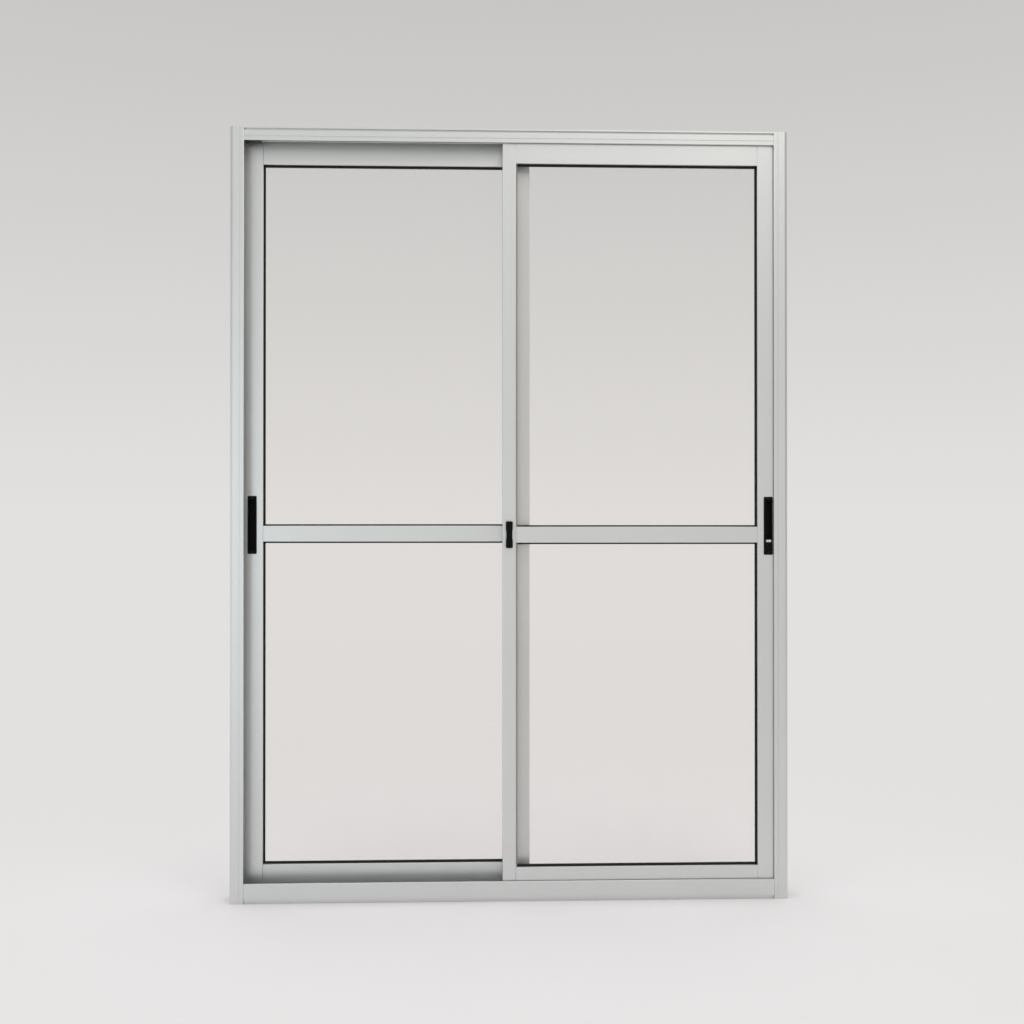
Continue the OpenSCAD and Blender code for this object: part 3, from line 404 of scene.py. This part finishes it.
def add_box(bm, low, high, soft_edge=0.0):
    """A box between two corners, with its edges rounded."""
    made = bmesh.ops.create_cube(bm, size=1.0)["verts"]
    size, middle = high - low, (high + low) / 2
    for vert in made:
        vert.co = Vector(vert.co[i] * size[i] + middle[i] for i in range(3))
    if soft_edge > 0.0:
        edges = {edge for vert in made for edge in vert.link_edges}
        bmesh.ops.bevel(
            bm, geom=list(edges), offset=soft_edge, segments=2, profile=0.5, affect="EDGES"
        )


class FinishSettings(bpy.types.PropertyGroup):
    """Colours and gloss of the window's materials."""

    aluminium: bpy.props.FloatVectorProperty(
        name="Aluminium",
        description="Colour of the anodised frame and leaf sections",
        subtype="COLOR",
        size=4,
        default=(0.688, 0.704, 0.697, 1.0),
    )
    aluminium_roughness: bpy.props.FloatProperty(
        name="Aluminium Roughness",
        description="Mean roughness of the anodised sections",
        subtype="FACTOR",
        min=0.0,
        max=1.0,
        default=0.39,
    )
    glass: bpy.props.FloatVectorProperty(
        name="Glass",
        description="Share of light that one face of a pane lets through",
        subtype="COLOR",
        size=4,
        default=(0.975, 0.970, 0.966, 1.0),
    )
    rubber: bpy.props.FloatVectorProperty(
        name="Rubber",
        description="Colour of the gaskets and buffers",
        subtype="COLOR",
        size=4,
        default=(0.010, 0.010, 0.0105, 1.0),
    )
    lip: bpy.props.FloatVectorProperty(
        name="Gasket Lip",
        description="Colour of the right panes' gaskets along the meeting stile",
        subtype="COLOR",
        size=4,
        default=(0.330, 0.328, 0.322, 1.0),
    )
    lip_width: bpy.props.FloatProperty(
        name="Gasket Lip Width",
        description="Width of the pale lip from the gasket's outer edge, its hidden part included",
        subtype="DISTANCE",
        unit="LENGTH",
        min=0.0,
        default=19.1 * MM,
    )
    plastic: bpy.props.FloatVectorProperty(
        name="Black Plastic",
        description="Colour of the pulls, latch and guide blocks",
        subtype="COLOR",
        size=4,
        default=(0.0040, 0.0040, 0.0043, 1.0),
    )
    housing: bpy.props.FloatVectorProperty(
        name="Housing Plastic",
        description="Colour of the roller housings",
        subtype="COLOR",
        size=4,
        default=(0.150, 0.152, 0.155, 1.0),
    )
    nylon: bpy.props.FloatVectorProperty(
        name="Nylon",
        description="Colour of the roller wheels",
        subtype="COLOR",
        size=4,
        default=(0.720, 0.700, 0.640, 1.0),
    )
    steel: bpy.props.FloatVectorProperty(
        name="Steel",
        description="Colour of the plated steel pieces",
        subtype="COLOR",
        size=4,
        default=(0.600, 0.600, 0.590, 1.0),
    )
    pile: bpy.props.FloatVectorProperty(
        name="Pile",
        description="Colour of the brush seals",
        subtype="COLOR",
        size=4,
        default=(0.090, 0.090, 0.092, 1.0),
    )
    thumb: bpy.props.FloatVectorProperty(
        name="Thumb Slide",
        description="Colour of the satin thumb slide",
        subtype="COLOR",
        size=4,
        default=(0.640, 0.640, 0.620, 1.0),
    )
    section_edge: bpy.props.FloatProperty(
        name="Section Edge",
        description="Rounding of the sharp edges of the aluminium sections",
        subtype="DISTANCE",
        unit="LENGTH",
        min=0.0,
        default=0.3 * MM,
    )
    fitting_edge: bpy.props.FloatProperty(
        name="Fitting Edge",
        description="Rounding of the sharp edges of the moulded fittings",
        subtype="DISTANCE",
        unit="LENGTH",
        min=0.0,
        default=0.5 * MM,
    )


class SealSettings(bpy.types.PropertyGroup):
    """Sizes of the brush seals."""

    backing: bpy.props.FloatProperty(
        name="Backing",
        description="Thickness of the woven backing strip",
        subtype="DISTANCE",
        unit="LENGTH",
        min=0.0,
        default=1.0 * MM,
    )
    core: bpy.props.FloatProperty(
        name="Core",
        description="Width of the pile on its backing",
        subtype="DISTANCE",
        unit="LENGTH",
        min=0.0,
        default=3.0 * MM,
    )
    pitch: bpy.props.FloatProperty(
        name="Tuft Pitch",
        description="Distance between two tufts along the seal",
        subtype="DISTANCE",
        unit="LENGTH",
        min=0.5 * MM,
        default=2.0 * MM,
    )
    tuft: bpy.props.FloatProperty(
        name="Tuft",
        description="Width of a tuft at its root",
        subtype="DISTANCE",
        unit="LENGTH",
        min=0.0,
        default=1.5 * MM,
    )


class FittingSettings(bpy.types.PropertyGroup):
    """Sizes of the screws' recesses, the thumb slide and the latch lever."""

    screw_sides: bpy.props.IntProperty(
        name="Screw Sides", description="Number of sides of a screw's head", min=12, default=28
    )
    thumb_ribs: bpy.props.IntProperty(
        name="Thumb Ribs", description="Number of grip ribs on the thumb slide", min=1, default=3
    )
    rib_height: bpy.props.FloatProperty(
        name="Rib Height",
        description="Height of a grip rib on the thumb slide",
        subtype="DISTANCE",
        unit="LENGTH",
        min=0.0,
        default=0.6 * MM,
    )
    thumb_cap: bpy.props.FloatProperty(
        name="Thumb Cap",
        description="Height of the thumb slide over the lock's plate",
        subtype="DISTANCE",
        unit="LENGTH",
        min=0.0,
        default=3.0 * MM,
    )
    neck_width: bpy.props.FloatProperty(
        name="Neck Width",
        description="Width of the neck behind the thumb slide",
        subtype="DISTANCE",
        unit="LENGTH",
        min=0.0,
        default=4.8 * MM,
    )
    neck_height: bpy.props.FloatProperty(
        name="Neck Height",
        description="Height of the neck behind the thumb slide",
        subtype="DISTANCE",
        unit="LENGTH",
        min=0.0,
        default=5.0 * MM,
    )
    lever_edge: bpy.props.FloatProperty(
        name="Lever Edge",
        description="Rounding of the latch lever's edges",
        subtype="DISTANCE",
        unit="LENGTH",
        min=0.0,
        default=1.8 * MM,
    )


class StageSettings(bpy.types.PropertyGroup):
    """Camera, floor and light of the studio."""

    camera_place: bpy.props.FloatVectorProperty(
        name="Camera",
        description="Place of the camera",
        subtype="TRANSLATION",
        unit="LENGTH",
        size=3,
        default=(-0.103, -3.217, 1.018),
    )
    camera_turn: bpy.props.FloatProperty(
        name="Turn",
        description="Turn of the camera towards the right",
        subtype="ANGLE",
        default=math.radians(1.916),
    )
    camera_lift: bpy.props.FloatProperty(
        name="Lift",
        description="Lift of the camera over the horizon",
        subtype="ANGLE",
        default=math.radians(0.259),
    )
    lens: bpy.props.FloatProperty(
        name="Lens", description="Focal length in millimetres on a 36 mm sensor", min=1.0, default=42.12
    )
    floor: bpy.props.FloatVectorProperty(
        name="Floor",
        description="Colour of the floor",
        subtype="COLOR",
        size=4,
        default=(0.855, 0.845, 0.852, 1.0),
    )
    horizon: bpy.props.FloatVectorProperty(
        name="Horizon",
        description="Colour of the backdrop at eye level",
        subtype="COLOR",
        size=4,
        default=(0.77, 0.755, 0.74, 1.0),
    )
    zenith: bpy.props.FloatVectorProperty(
        name="Zenith",
        description="Colour of the backdrop high up",
        subtype="COLOR",
        size=4,
        default=(0.56, 0.555, 0.55, 1.0),
    )
    aside: bpy.props.FloatVectorProperty(
        name="Aside",
        description="Colour of the backdrop far out to the left and the right",
        subtype="COLOR",
        size=4,
        default=(0.32, 0.315, 0.31, 1.0),
    )
    key_power: bpy.props.FloatProperty(
        name="Key",
        description="Power of the warm softbox high at the right",
        subtype="POWER",
        unit="POWER",
        default=26.0,
    )
    fill_power: bpy.props.FloatProperty(
        name="Fill",
        description="Power of the cool softbox at the left",
        subtype="POWER",
        unit="POWER",
        default=16.0,
    )
    front_power: bpy.props.FloatProperty(
        name="Front",
        description="Power of the wide softbox behind the camera",
        subtype="POWER",
        unit="POWER",
        default=7.0,
    )
    top_power: bpy.props.FloatProperty(
        name="Top",
        description="Power of the softbox over the floor",
        subtype="POWER",
        unit="POWER",
        default=186.0,
    )


class WINDOWS_OT_dress_sections(bpy.types.Operator):
    """Give the frame and leaf sections their anodised finish and softened edges"""

    bl_idname = "windows.dress_sections"
    bl_label = "Dress Sections"

    def execute(self, context):
        finishes = context.scene.windows_finishes
        across, along = DIE_LINES_ACROSS, DIE_LINES_ALONG
        runs = (
            (UPRIGHT_MEMBERS, "upright", (across, across, along)),
            (LEVEL_MEMBERS, "level", (along, across, across)),
        )
        for members, run, die_lines in runs:
            metal = satin_aluminium(
                f"anodised_{run}", finishes.aluminium, finishes.aluminium_roughness, die_lines
            )
            for node in members:
                dress(node, metal, finishes.section_edge)
        return {"FINISHED"}


class WINDOWS_OT_dress_glazing(bpy.types.Operator):
    """Give the panes and their gaskets their finish"""

    bl_idname = "windows.dress_glazing"
    bl_label = "Dress Glazing"

    def execute(self, context):
        finishes = context.scene.windows_finishes
        glass = clear_glass(finishes.glass)
        skin = {"roughness": 0.62, "grain_per_metre": 1800, "grain_depth": 0.12 * MM, "sheen": 0.15}
        rubber = moulded("gasket_rubber", finishes.rubber, **skin)
        for node in PANES:
            dress(node, glass)
        lip = (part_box(LIPPED_GASKETS[0])[0].x + finishes.lip_width, finishes.lip)
        lipped = moulded("lipped_rubber", finishes.rubber, lip=lip, **skin)
        for node in GASKETS + BUFFERS:
            dress(node, rubber)
        for node in LIPPED_GASKETS:
            dress(node, lipped)
        return {"FINISHED"}


# Half the width of a tuft at its root and at its tip, as a share of the tuft's width
TUFT_ROOT_SHARE = 0.5
TUFT_TIP_SHARE = 0.22


def add_tuft(bm, root, tip, run, across, width):
    """One tapering tuft of yarn."""
    ends = []
    for point, share in ((root, TUFT_ROOT_SHARE), (tip, TUFT_TIP_SHARE)):
        ring = []
        for side_run, side_across in ((1, 0), (0, 1), (-1, 0), (0, -1)):
            corner = point.copy()
            corner[run] += side_run * width * share
            corner[across] += side_across * width * share
            ring.append(bm.verts.new(corner))
        ends.append(ring)
    for i in range(4):
        j = (i + 1) % 4
        bm.faces.new((ends[0][i], ends[0][j], ends[1][j], ends[1][i]))
    bm.faces.new(ends[0])
    bm.faces.new(ends[1])


class WINDOWS_OT_make_brush_seals(bpy.types.Operator):
    """Build the brush seals tuft by tuft on their backing strips"""

    bl_idname = "windows.make_brush_seals"
    bl_label = "Make Brush Seals"

    # The two rows of tufts, as sides of the seal's middle line
    ROWS = (-0.5, 0.5)
    # Shortest tuft as a share of the seal's depth
    SHORTEST_TUFT = 0.93
    # How far a tip strays: along the seal as a share of the pitch, across it as a share of the core
    STRAY_ALONG = 0.3
    STRAY_ACROSS = 0.16

    def execute(self, context):
        settings = context.scene.windows_seals
        pile = woven_pile(context.scene.windows_finishes.pile)
        for number, (node, towards) in enumerate(BRUSH_SEALS.items()):
            bm = bmesh.new()
            self.build(bm, node, towards, settings, random.Random(SEED + number))
            new_piece(f"{node}_brush", bm, pile, "frame", "pile", node)
        return {"FINISHED"}

    @classmethod
    def build(cls, bm, node, towards, settings, chance):
        low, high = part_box(node)
        size = high - low
        # A seal runs along X or Z, and the other of these two is its width
        run = max(range(3), key=lambda axis: size[axis])
        across = 2 - run
        depth = size.y
        root_y = low.y if towards.y > 0 else high.y
        strip_low, strip_high = low.copy(), high.copy()
        if towards.y > 0:
            strip_high.y = low.y + settings.backing
        else:
            strip_low.y = high.y - settings.backing
        add_box(bm, strip_low, strip_high)
        middle = (low[across] + high[across]) / 2
        count = int(size[run] / settings.pitch)
        for row in cls.ROWS:
            for step in range(count):
                along = low[run] + (step + 0.5 + row * 0.5) * size[run] / (count + 1)
                root = Vector((0, root_y + towards.y * settings.backing * 0.5, 0))
                root[run] = along
                root[across] = middle + row * settings.core * 0.5
                tip = root.copy()
                tip.y = root_y + towards.y * depth * chance.uniform(cls.SHORTEST_TUFT, 1.0)
                tip[run] += settings.pitch * chance.uniform(-cls.STRAY_ALONG, cls.STRAY_ALONG)
                tip[across] += settings.core * chance.uniform(-cls.STRAY_ACROSS, cls.STRAY_ACROSS)
                add_tuft(bm, root, tip, run, across, settings.tuft)


# A screw's outline from the top of its head: share of the head's radius, share of the head's thickness
HEAD_OUTLINE_SHARES = ((0.66, 0.0), (0.86, 0.14), (0.97, 0.38), (1.0, 0.62), (1.0, 1.0))
# Cross recess, as shares of the head's radius: length and width of an arm from the middle
RECESS_ARM_SHARE = 0.46
RECESS_WIDTH_SHARE = 0.13
# Depth of the recess as a share of the head's thickness, and its taper
RECESS_DEPTH_SHARE = 0.55
RECESS_TAPER_SHARE = 0.72
# The screw's point, as shares of the shank's radius: its length and the radius of its tip
POINT_SHARE = 1.6
TIP_SHARE = 0.2


def add_screw(bm, points, sides, chance):
    """A screw in the place of one CAD screw, whose head and axis are read from its points."""
    low = Vector(min(p[i] for p in points) for i in range(3))
    high = Vector(max(p[i] for p in points) for i in range(3))
    size = high - low
    axis = max(range(3), key=lambda i: size[i])
    middle = (low + high) / 2
    first, second = (i for i in range(3) if i != axis)

    def reach(point):
        return math.hypot(point[first] - middle[first], point[second] - middle[second])

    head_r = max(reach(p) for p in points)
    shank_r = min(reach(p) for p in points)
    rims = [p[axis] for p in points if reach(p) > (head_r + shank_r) / 2]
    head_low, head_high = min(rims), max(rims)
    head_t = head_high - head_low
    inward = 1.0 if head_low - low[axis] < high[axis] - head_high else -1.0
    top = head_low if inward > 0 else head_high
    turn = chance.uniform(0.0, math.pi / 2)

    def put(u, v, depth):
        point = middle.copy()
        point[axis] = top + inward * depth
        point[first] += u * math.cos(turn) - v * math.sin(turn)
        point[second] += u * math.sin(turn) + v * math.cos(turn)
        return bm.verts.new(point)

    def ring(radius, depth):
        angles = [2 * math.pi * i / sides for i in range(sides)]
        return [put(radius * math.cos(a), radius * math.sin(a), depth) for a in angles]

    length = size[axis]
    outline = [(head_r * r, head_t * d) for r, d in HEAD_OUTLINE_SHARES]
    outline += [(shank_r, head_t), (shank_r, length - shank_r * POINT_SHARE)]
    outline += [(shank_r * TIP_SHARE, length)]
    rings = [ring(radius, depth) for radius, depth in outline]
    for upper, lower in zip(rings, rings[1:]):
        for i in range(sides):
            j = (i + 1) % sides
            bm.faces.new((upper[i], upper[j], lower[j], lower[i]))
    bm.faces.new(rings[-1])
    add_cross_recess(bm, rings[0], put, head_r, head_t)


def add_cross_recess(bm, rim, put, head_r, head_t):
    """The top of a screw's head, with its cross-shaped recess."""
    arm, half = head_r * RECESS_ARM_SHARE, head_r * RECESS_WIDTH_SHARE
    cross = []
    for quarter in range(4):
        c, s = round(math.cos(quarter * math.pi / 2)), round(math.sin(quarter * math.pi / 2))
        for u, v in ((arm, -half), (arm, half), (half, half)):
            cross.append((u * c - v * s, u * s + v * c))
    mouth = [put(u, v, 0.0) for u, v in cross]
    taper = RECESS_TAPER_SHARE
    foot = [put(u * taper, v * taper, head_t * RECESS_DEPTH_SHARE) for u, v in cross]
    count = len(cross)
    edges = []
    for loop in (rim, mouth):
        for i, vert in enumerate(loop):
            pair = (vert, loop[(i + 1) % len(loop)])
            edges.append(bm.edges.get(pair) or bm.edges.new(pair))
    bmesh.ops.triangle_fill(bm, use_beauty=True, edges=edges)
    lids = [face for face in bm.faces if set(face.verts) <= set(mouth)]
    bmesh.ops.delete(bm, geom=lids, context="FACES_ONLY")
    for i in range(count):
        j = (i + 1) % count
        bm.faces.new((mouth[i], mouth[j], foot[j], foot[i]))
    bm.faces.new(foot)


class WINDOWS_OT_make_screws(bpy.types.Operator):
    """Build pan-head screws with cross recesses where the CAD screws stand"""

    bl_idname = "windows.make_screws"
    bl_label = "Make Screws"

    def execute(self, context):
        finishes = context.scene.windows_finishes
        sides = context.scene.windows_fittings.screw_sides
        plated = plated_steel("plated_screw", finishes.steel, roughness=0.36)
        black = plated_steel("black_screw", shade(finishes.steel, share=0.05), roughness=0.42)
        groups = ((STEEL_SCREWS, plated, "steel"), (BLACK_SCREWS, black, "black_plastic"))
        for screws, metal, slot in groups:
            for node, body in screws.items():
                bm = bmesh.new()
                for number, points in enumerate(islands(node)):
                    add_screw(bm, points, sides, random.Random(SEED + number))
                new_piece(f"{node}_cross_head", bm, metal, body, slot, node)
        return {"FINISHED"}


class WINDOWS_OT_make_thumb_slide(bpy.types.Operator):
    """Build the ribbed thumb slide of the lock with its neck"""

    bl_idname = "windows.make_thumb_slide"
    bl_label = "Make Thumb Slide"

    ROUGHNESS = 0.34
    DIE_LINES = (1.5, 1400, 1400)
    # Rounding of the cap, and of the neck and the ribs
    CAP_EDGE = 0.5 * MM
    FINE_EDGE = 0.2 * MM
    # Half the length of a rib as a share of the slide's width, half its width as a share of the ribs' pitch
    RIB_LENGTH_SHARE = 0.42
    RIB_WIDTH_SHARE = 0.26

    def execute(self, context):
        settings = context.scene.windows_fittings
        colour = context.scene.windows_finishes.thumb
        metal = satin_aluminium("satin_thumb", colour, self.ROUGHNESS, self.DIE_LINES)
        low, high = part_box("lock_thumb")
        middle = (low + high) / 2
        face = low.y + settings.rib_height
        bm = bmesh.new()
        cap_low = Vector((low.x, face, low.z))
        cap_high = Vector((high.x, low.y + settings.thumb_cap, high.z))
        add_box(bm, cap_low, cap_high, self.CAP_EDGE)
        neck = Vector((settings.neck_width / 2, 0, settings.neck_height / 2))
        neck_low, neck_high = middle - neck, middle + neck
        neck_low.y, neck_high.y = low.y + settings.thumb_cap / 2, high.y
        add_box(bm, neck_low, neck_high, self.FINE_EDGE)
        pitch = (high.z - low.z) / (settings.thumb_ribs + 1)
        half = Vector(((high.x - low.x) * self.RIB_LENGTH_SHARE, 0, pitch * self.RIB_WIDTH_SHARE))
        for number in range(settings.thumb_ribs):
            z = low.z + (number + 1) * pitch
            rib_low = Vector((middle.x, low.y, z)) - half
            rib_high = Vector((middle.x, face + settings.rib_height, z)) + half
            add_box(bm, rib_low, rib_high, self.FINE_EDGE)
        new_piece("lock_thumb_grip", bm, metal, "lock", "thumb_metal", "lock_thumb")
        return {"FINISHED"}


class WINDOWS_OT_dress_fittings(bpy.types.Operator):
    """Give the pulls, latch, rollers, guides and keepers their finish"""

    bl_idname = "windows.dress_fittings"
    bl_label = "Dress Fittings"

    def execute(self, context):
        finishes = context.scene.windows_finishes
        settings = context.scene.windows_fittings
        fine = {"grain_per_metre": 1500, "grain_depth": 0.10 * MM, "sheen": 0.08}
        coarse = {"grain_per_metre": 900, "grain_depth": 0.15 * MM}
        smooth = {"grain_per_metre": 700, "grain_depth": 0.08 * MM}
        black = moulded("black_fitting", finishes.plastic, roughness=0.50, **fine)
        block = moulded("black_block", finishes.plastic, roughness=0.55, **coarse)
        grey = moulded("grey_housing", finishes.housing, roughness=0.50, **coarse)
        nylon = moulded("nylon_wheel", finishes.nylon, roughness=0.45, **smooth)
        steel = plated_steel("plated_steel", finishes.steel, roughness=0.34)
        # Plated steel darkened to a painted shade: it stands in for the shade that falls on the hook inside
        # the lock's thumb slot
        shade_darkened = plated_steel("blackened_steel", shade(finishes.steel, share=0.06), roughness=0.45)
        groups = (
            (BLACK_FITTINGS, black),
            (BLACK_BLOCKS, block),
            (HOUSINGS, grey),
            (WHEELS, nylon),
            (STEEL_PIECES, steel),
            (SHADE_DARKENED_PIECES, shade_darkened),
        )
        for nodes, material in groups:
            for node in nodes:
                dress(node, material, finishes.fitting_edge)
        dress("latch_lever", black, settings.lever_edge)
        return {"FINISHED"}


class WINDOWS_OT_build_stage(bpy.types.Operator):
    """Build the floor, the backdrop, the softboxes and the camera"""

    bl_idname = "windows.build_stage"
    bl_label = "Build Stage"

    FLOOR_RADIUS = 30.0
    FLOOR_SIDES = 96
    # Distance from the object over which the floor turns into the backdrop
    FADE_FROM = 0.5
    FADE_TO = 2.6
    # Share of a direction that points sideways, from where the backdrop darkens to where it is darkest
    ASIDE_FROM = 0.44
    ASIDE_TO = 0.85
    # Share of a direction that points up, from where the backdrop has its zenith colour
    ZENITH_FROM = 0.42
    SENSOR_WIDTH = 36.0
    CLIP_END = 100.0
    # Each softbox: name, place, point that it faces, width and height, colour
    SOFTBOXES = (
        ("key", (1.7, -3.6, 4.7), (0.5, 0.0, 1.9), (2.6, 2.4), (1.0, 0.965, 0.92)),
        ("fill", (-2.6, -3.3, 0.9), (-0.6, 0.0, 0.8), (2.4, 2.2), (0.76, 0.91, 1.0)),
        ("front", (0.0, -6.0, 2.0), (0.0, 0.0, 1.0), (5.0, 4.0), (1.0, 0.99, 0.98)),
        ("top", (0.0, 0.0, 4.8), (0.0, 0.0, 0.0), (8.5, 8.5), (1.0, 0.99, 0.985)),
    )

    def execute(self, context):
        stage = context.scene.windows_stage
        context.scene.view_settings.view_transform = "Standard"
        self.make_floor(stage)
        self.make_backdrop(context.scene, stage)
        for name, place, target, size, colour in self.SOFTBOXES:
            power = getattr(stage, f"{name}_power")
            self.make_softbox(name, Vector(place), Vector(target), size, power, colour)
        self.make_camera(context.scene, stage)
        return {"FINISHED"}

    def make_floor(self, stage):
        bm = bmesh.new()
        bmesh.ops.create_circle(bm, cap_ends=True, segments=self.FLOOR_SIDES, radius=self.FLOOR_RADIUS)
        mesh = bpy.data.meshes.new("studio_floor")
        bm.to_mesh(mesh)
        bm.free()
        material, tree = new_finish("studio_floor")
        place = tree.place()
        settings = {"operation": "LENGTH"}
        distance = tree.node("ShaderNodeVectorMath", settings, {0: place}, out="Value")
        fade = tree.node(
            "ShaderNodeMapRange",
            {"interpolation_type": "SMOOTHSTEP"},
            {"Value": distance, "From Min": self.FADE_FROM, "From Max": self.FADE_TO},
        )
        mottle = tree.noise(place, per_metre=(3, 3, 3), detail=3.0)
        colour = tree.tones(mottle, stage.floor, darkest=0.99, lightest=1.01)
        matt = tree.node("ShaderNodeBsdfDiffuse", None, {"Color": colour})
        glow = tree.node("ShaderNodeEmission", None, {"Color": stage.horizon, "Strength": 1.0})
        close_finish(tree, tree.node("ShaderNodeMixShader", None, {0: fade, 1: matt, 2: glow}))
        mesh.materials.append(material)
        floor = bpy.data.objects.new("studio_floor", mesh)
        bpy.context.scene.collection.objects.link(floor)

    def make_backdrop(self, scene, stage):
        """A backdrop that is darker high up; the part gets less of its light from far out to the sides."""
        world = bpy.data.worlds.new("studio")
        scene.world = world
        world.use_nodes = True
        tree = Tree(world.node_tree)
        towards = tree.node("ShaderNodeTexCoord", out="Generated")
        height = tree.node("ShaderNodeSeparateXYZ", None, {0: towards}, out="Z")
        sideways = tree.node("ShaderNodeSeparateXYZ", None, {0: towards}, out="X")
        rise = tree.node(
            "ShaderNodeValToRGB",
            {"stops": ((0.0, tuple(stage.horizon)), (self.ZENITH_FROM, tuple(stage.zenith)))},
            {"Fac": height},
            out="Color",
        )
        aside = tree.node(
            "ShaderNodeMapRange",
            {"interpolation_type": "SMOOTHSTEP"},
            {"Value": abs(sideways), "From Min": self.ASIDE_FROM, "From Max": self.ASIDE_TO},
        )
        seen = tree.node("ShaderNodeLightPath", out="Is Camera Ray")
        colour = tree.blend(aside * (1.0 - seen), rise, stage.aside)
        light = tree.node("ShaderNodeBackground", None, {"Color": colour, "Strength": 1.0})
        tree.node("ShaderNodeOutputWorld", None, {"Surface": light})

    @staticmethod
    def make_softbox(name, place, target, size, power, colour):
        lamp = bpy.data.lights.new(f"{name}_softbox", "AREA")
        lamp.shape = "RECTANGLE"
        lamp.size, lamp.size_y = size
        lamp.energy = power
        lamp.color = colour
        softbox = bpy.data.objects.new(f"{name}_softbox", lamp)
        softbox.location = place
        softbox.visible_camera = False
        softbox.rotation_euler = (target - place).to_track_quat("-Z", "Y").to_euler()
        bpy.context.scene.collection.objects.link(softbox)

    def make_camera(self, scene, stage):
        lens = bpy.data.cameras.new("camera")
        lens.sensor_width = self.SENSOR_WIDTH
        lens.lens = stage.lens
        lens.clip_end = self.CLIP_END
        camera = bpy.data.objects.new("camera", lens)
        camera.location = stage.camera_place
        camera.rotation_euler = (math.pi / 2 + stage.camera_lift, 0.0, -stage.camera_turn)
        scene.collection.objects.link(camera)
        scene.camera = camera


class WINDOWS_PT_french_windows(bpy.types.Panel):
    """Steps that dress the french windows"""

    bl_idname = "WINDOWS_PT_french_windows"
    bl_label = "French Windows"
    bl_space_type = "VIEW_3D"
    bl_region_type = "UI"
    bl_category = "French Windows"

    def draw(self, context):
        for operator in OPERATORS:
            self.layout.operator(operator.bl_idname)
        for name in SETTINGS:
            group = getattr(context.scene, name)
            box = self.layout.box()
            for key in group.__annotations__:
                box.prop(group, key)


SETTINGS = {
    "windows_finishes": FinishSettings,
    "windows_seals": SealSettings,
    "windows_fittings": FittingSettings,
    "windows_stage": StageSettings,
}
OPERATORS = (
    WINDOWS_OT_dress_sections,
    WINDOWS_OT_dress_glazing,
    WINDOWS_OT_make_brush_seals,
    WINDOWS_OT_make_screws,
    WINDOWS_OT_make_thumb_slide,
    WINDOWS_OT_dress_fittings,
    WINDOWS_OT_build_stage,
)
CLASSES = tuple(SETTINGS.values()) + OPERATORS + (WINDOWS_PT_french_windows,)


def register():
    for cls in CLASSES:
        bpy.utils.register_class(cls)
    for name, group in SETTINGS.items():
        setattr(bpy.types.Scene, name, bpy.props.PointerProperty(type=group))


def unregister():
    for name in SETTINGS:
        delattr(bpy.types.Scene, name)
    for cls in reversed(CLASSES):
        bpy.utils.unregister_class(cls)


def main():
    register()
    bpy.ops.windows.dress_sections()
    bpy.ops.windows.dress_glazing()
    bpy.ops.windows.make_brush_seals()
    bpy.ops.windows.make_screws()
    bpy.ops.windows.make_thumb_slide()
    bpy.ops.windows.dress_fittings()
    bpy.ops.windows.build_stage()


if __name__ == "__main__":
    main()
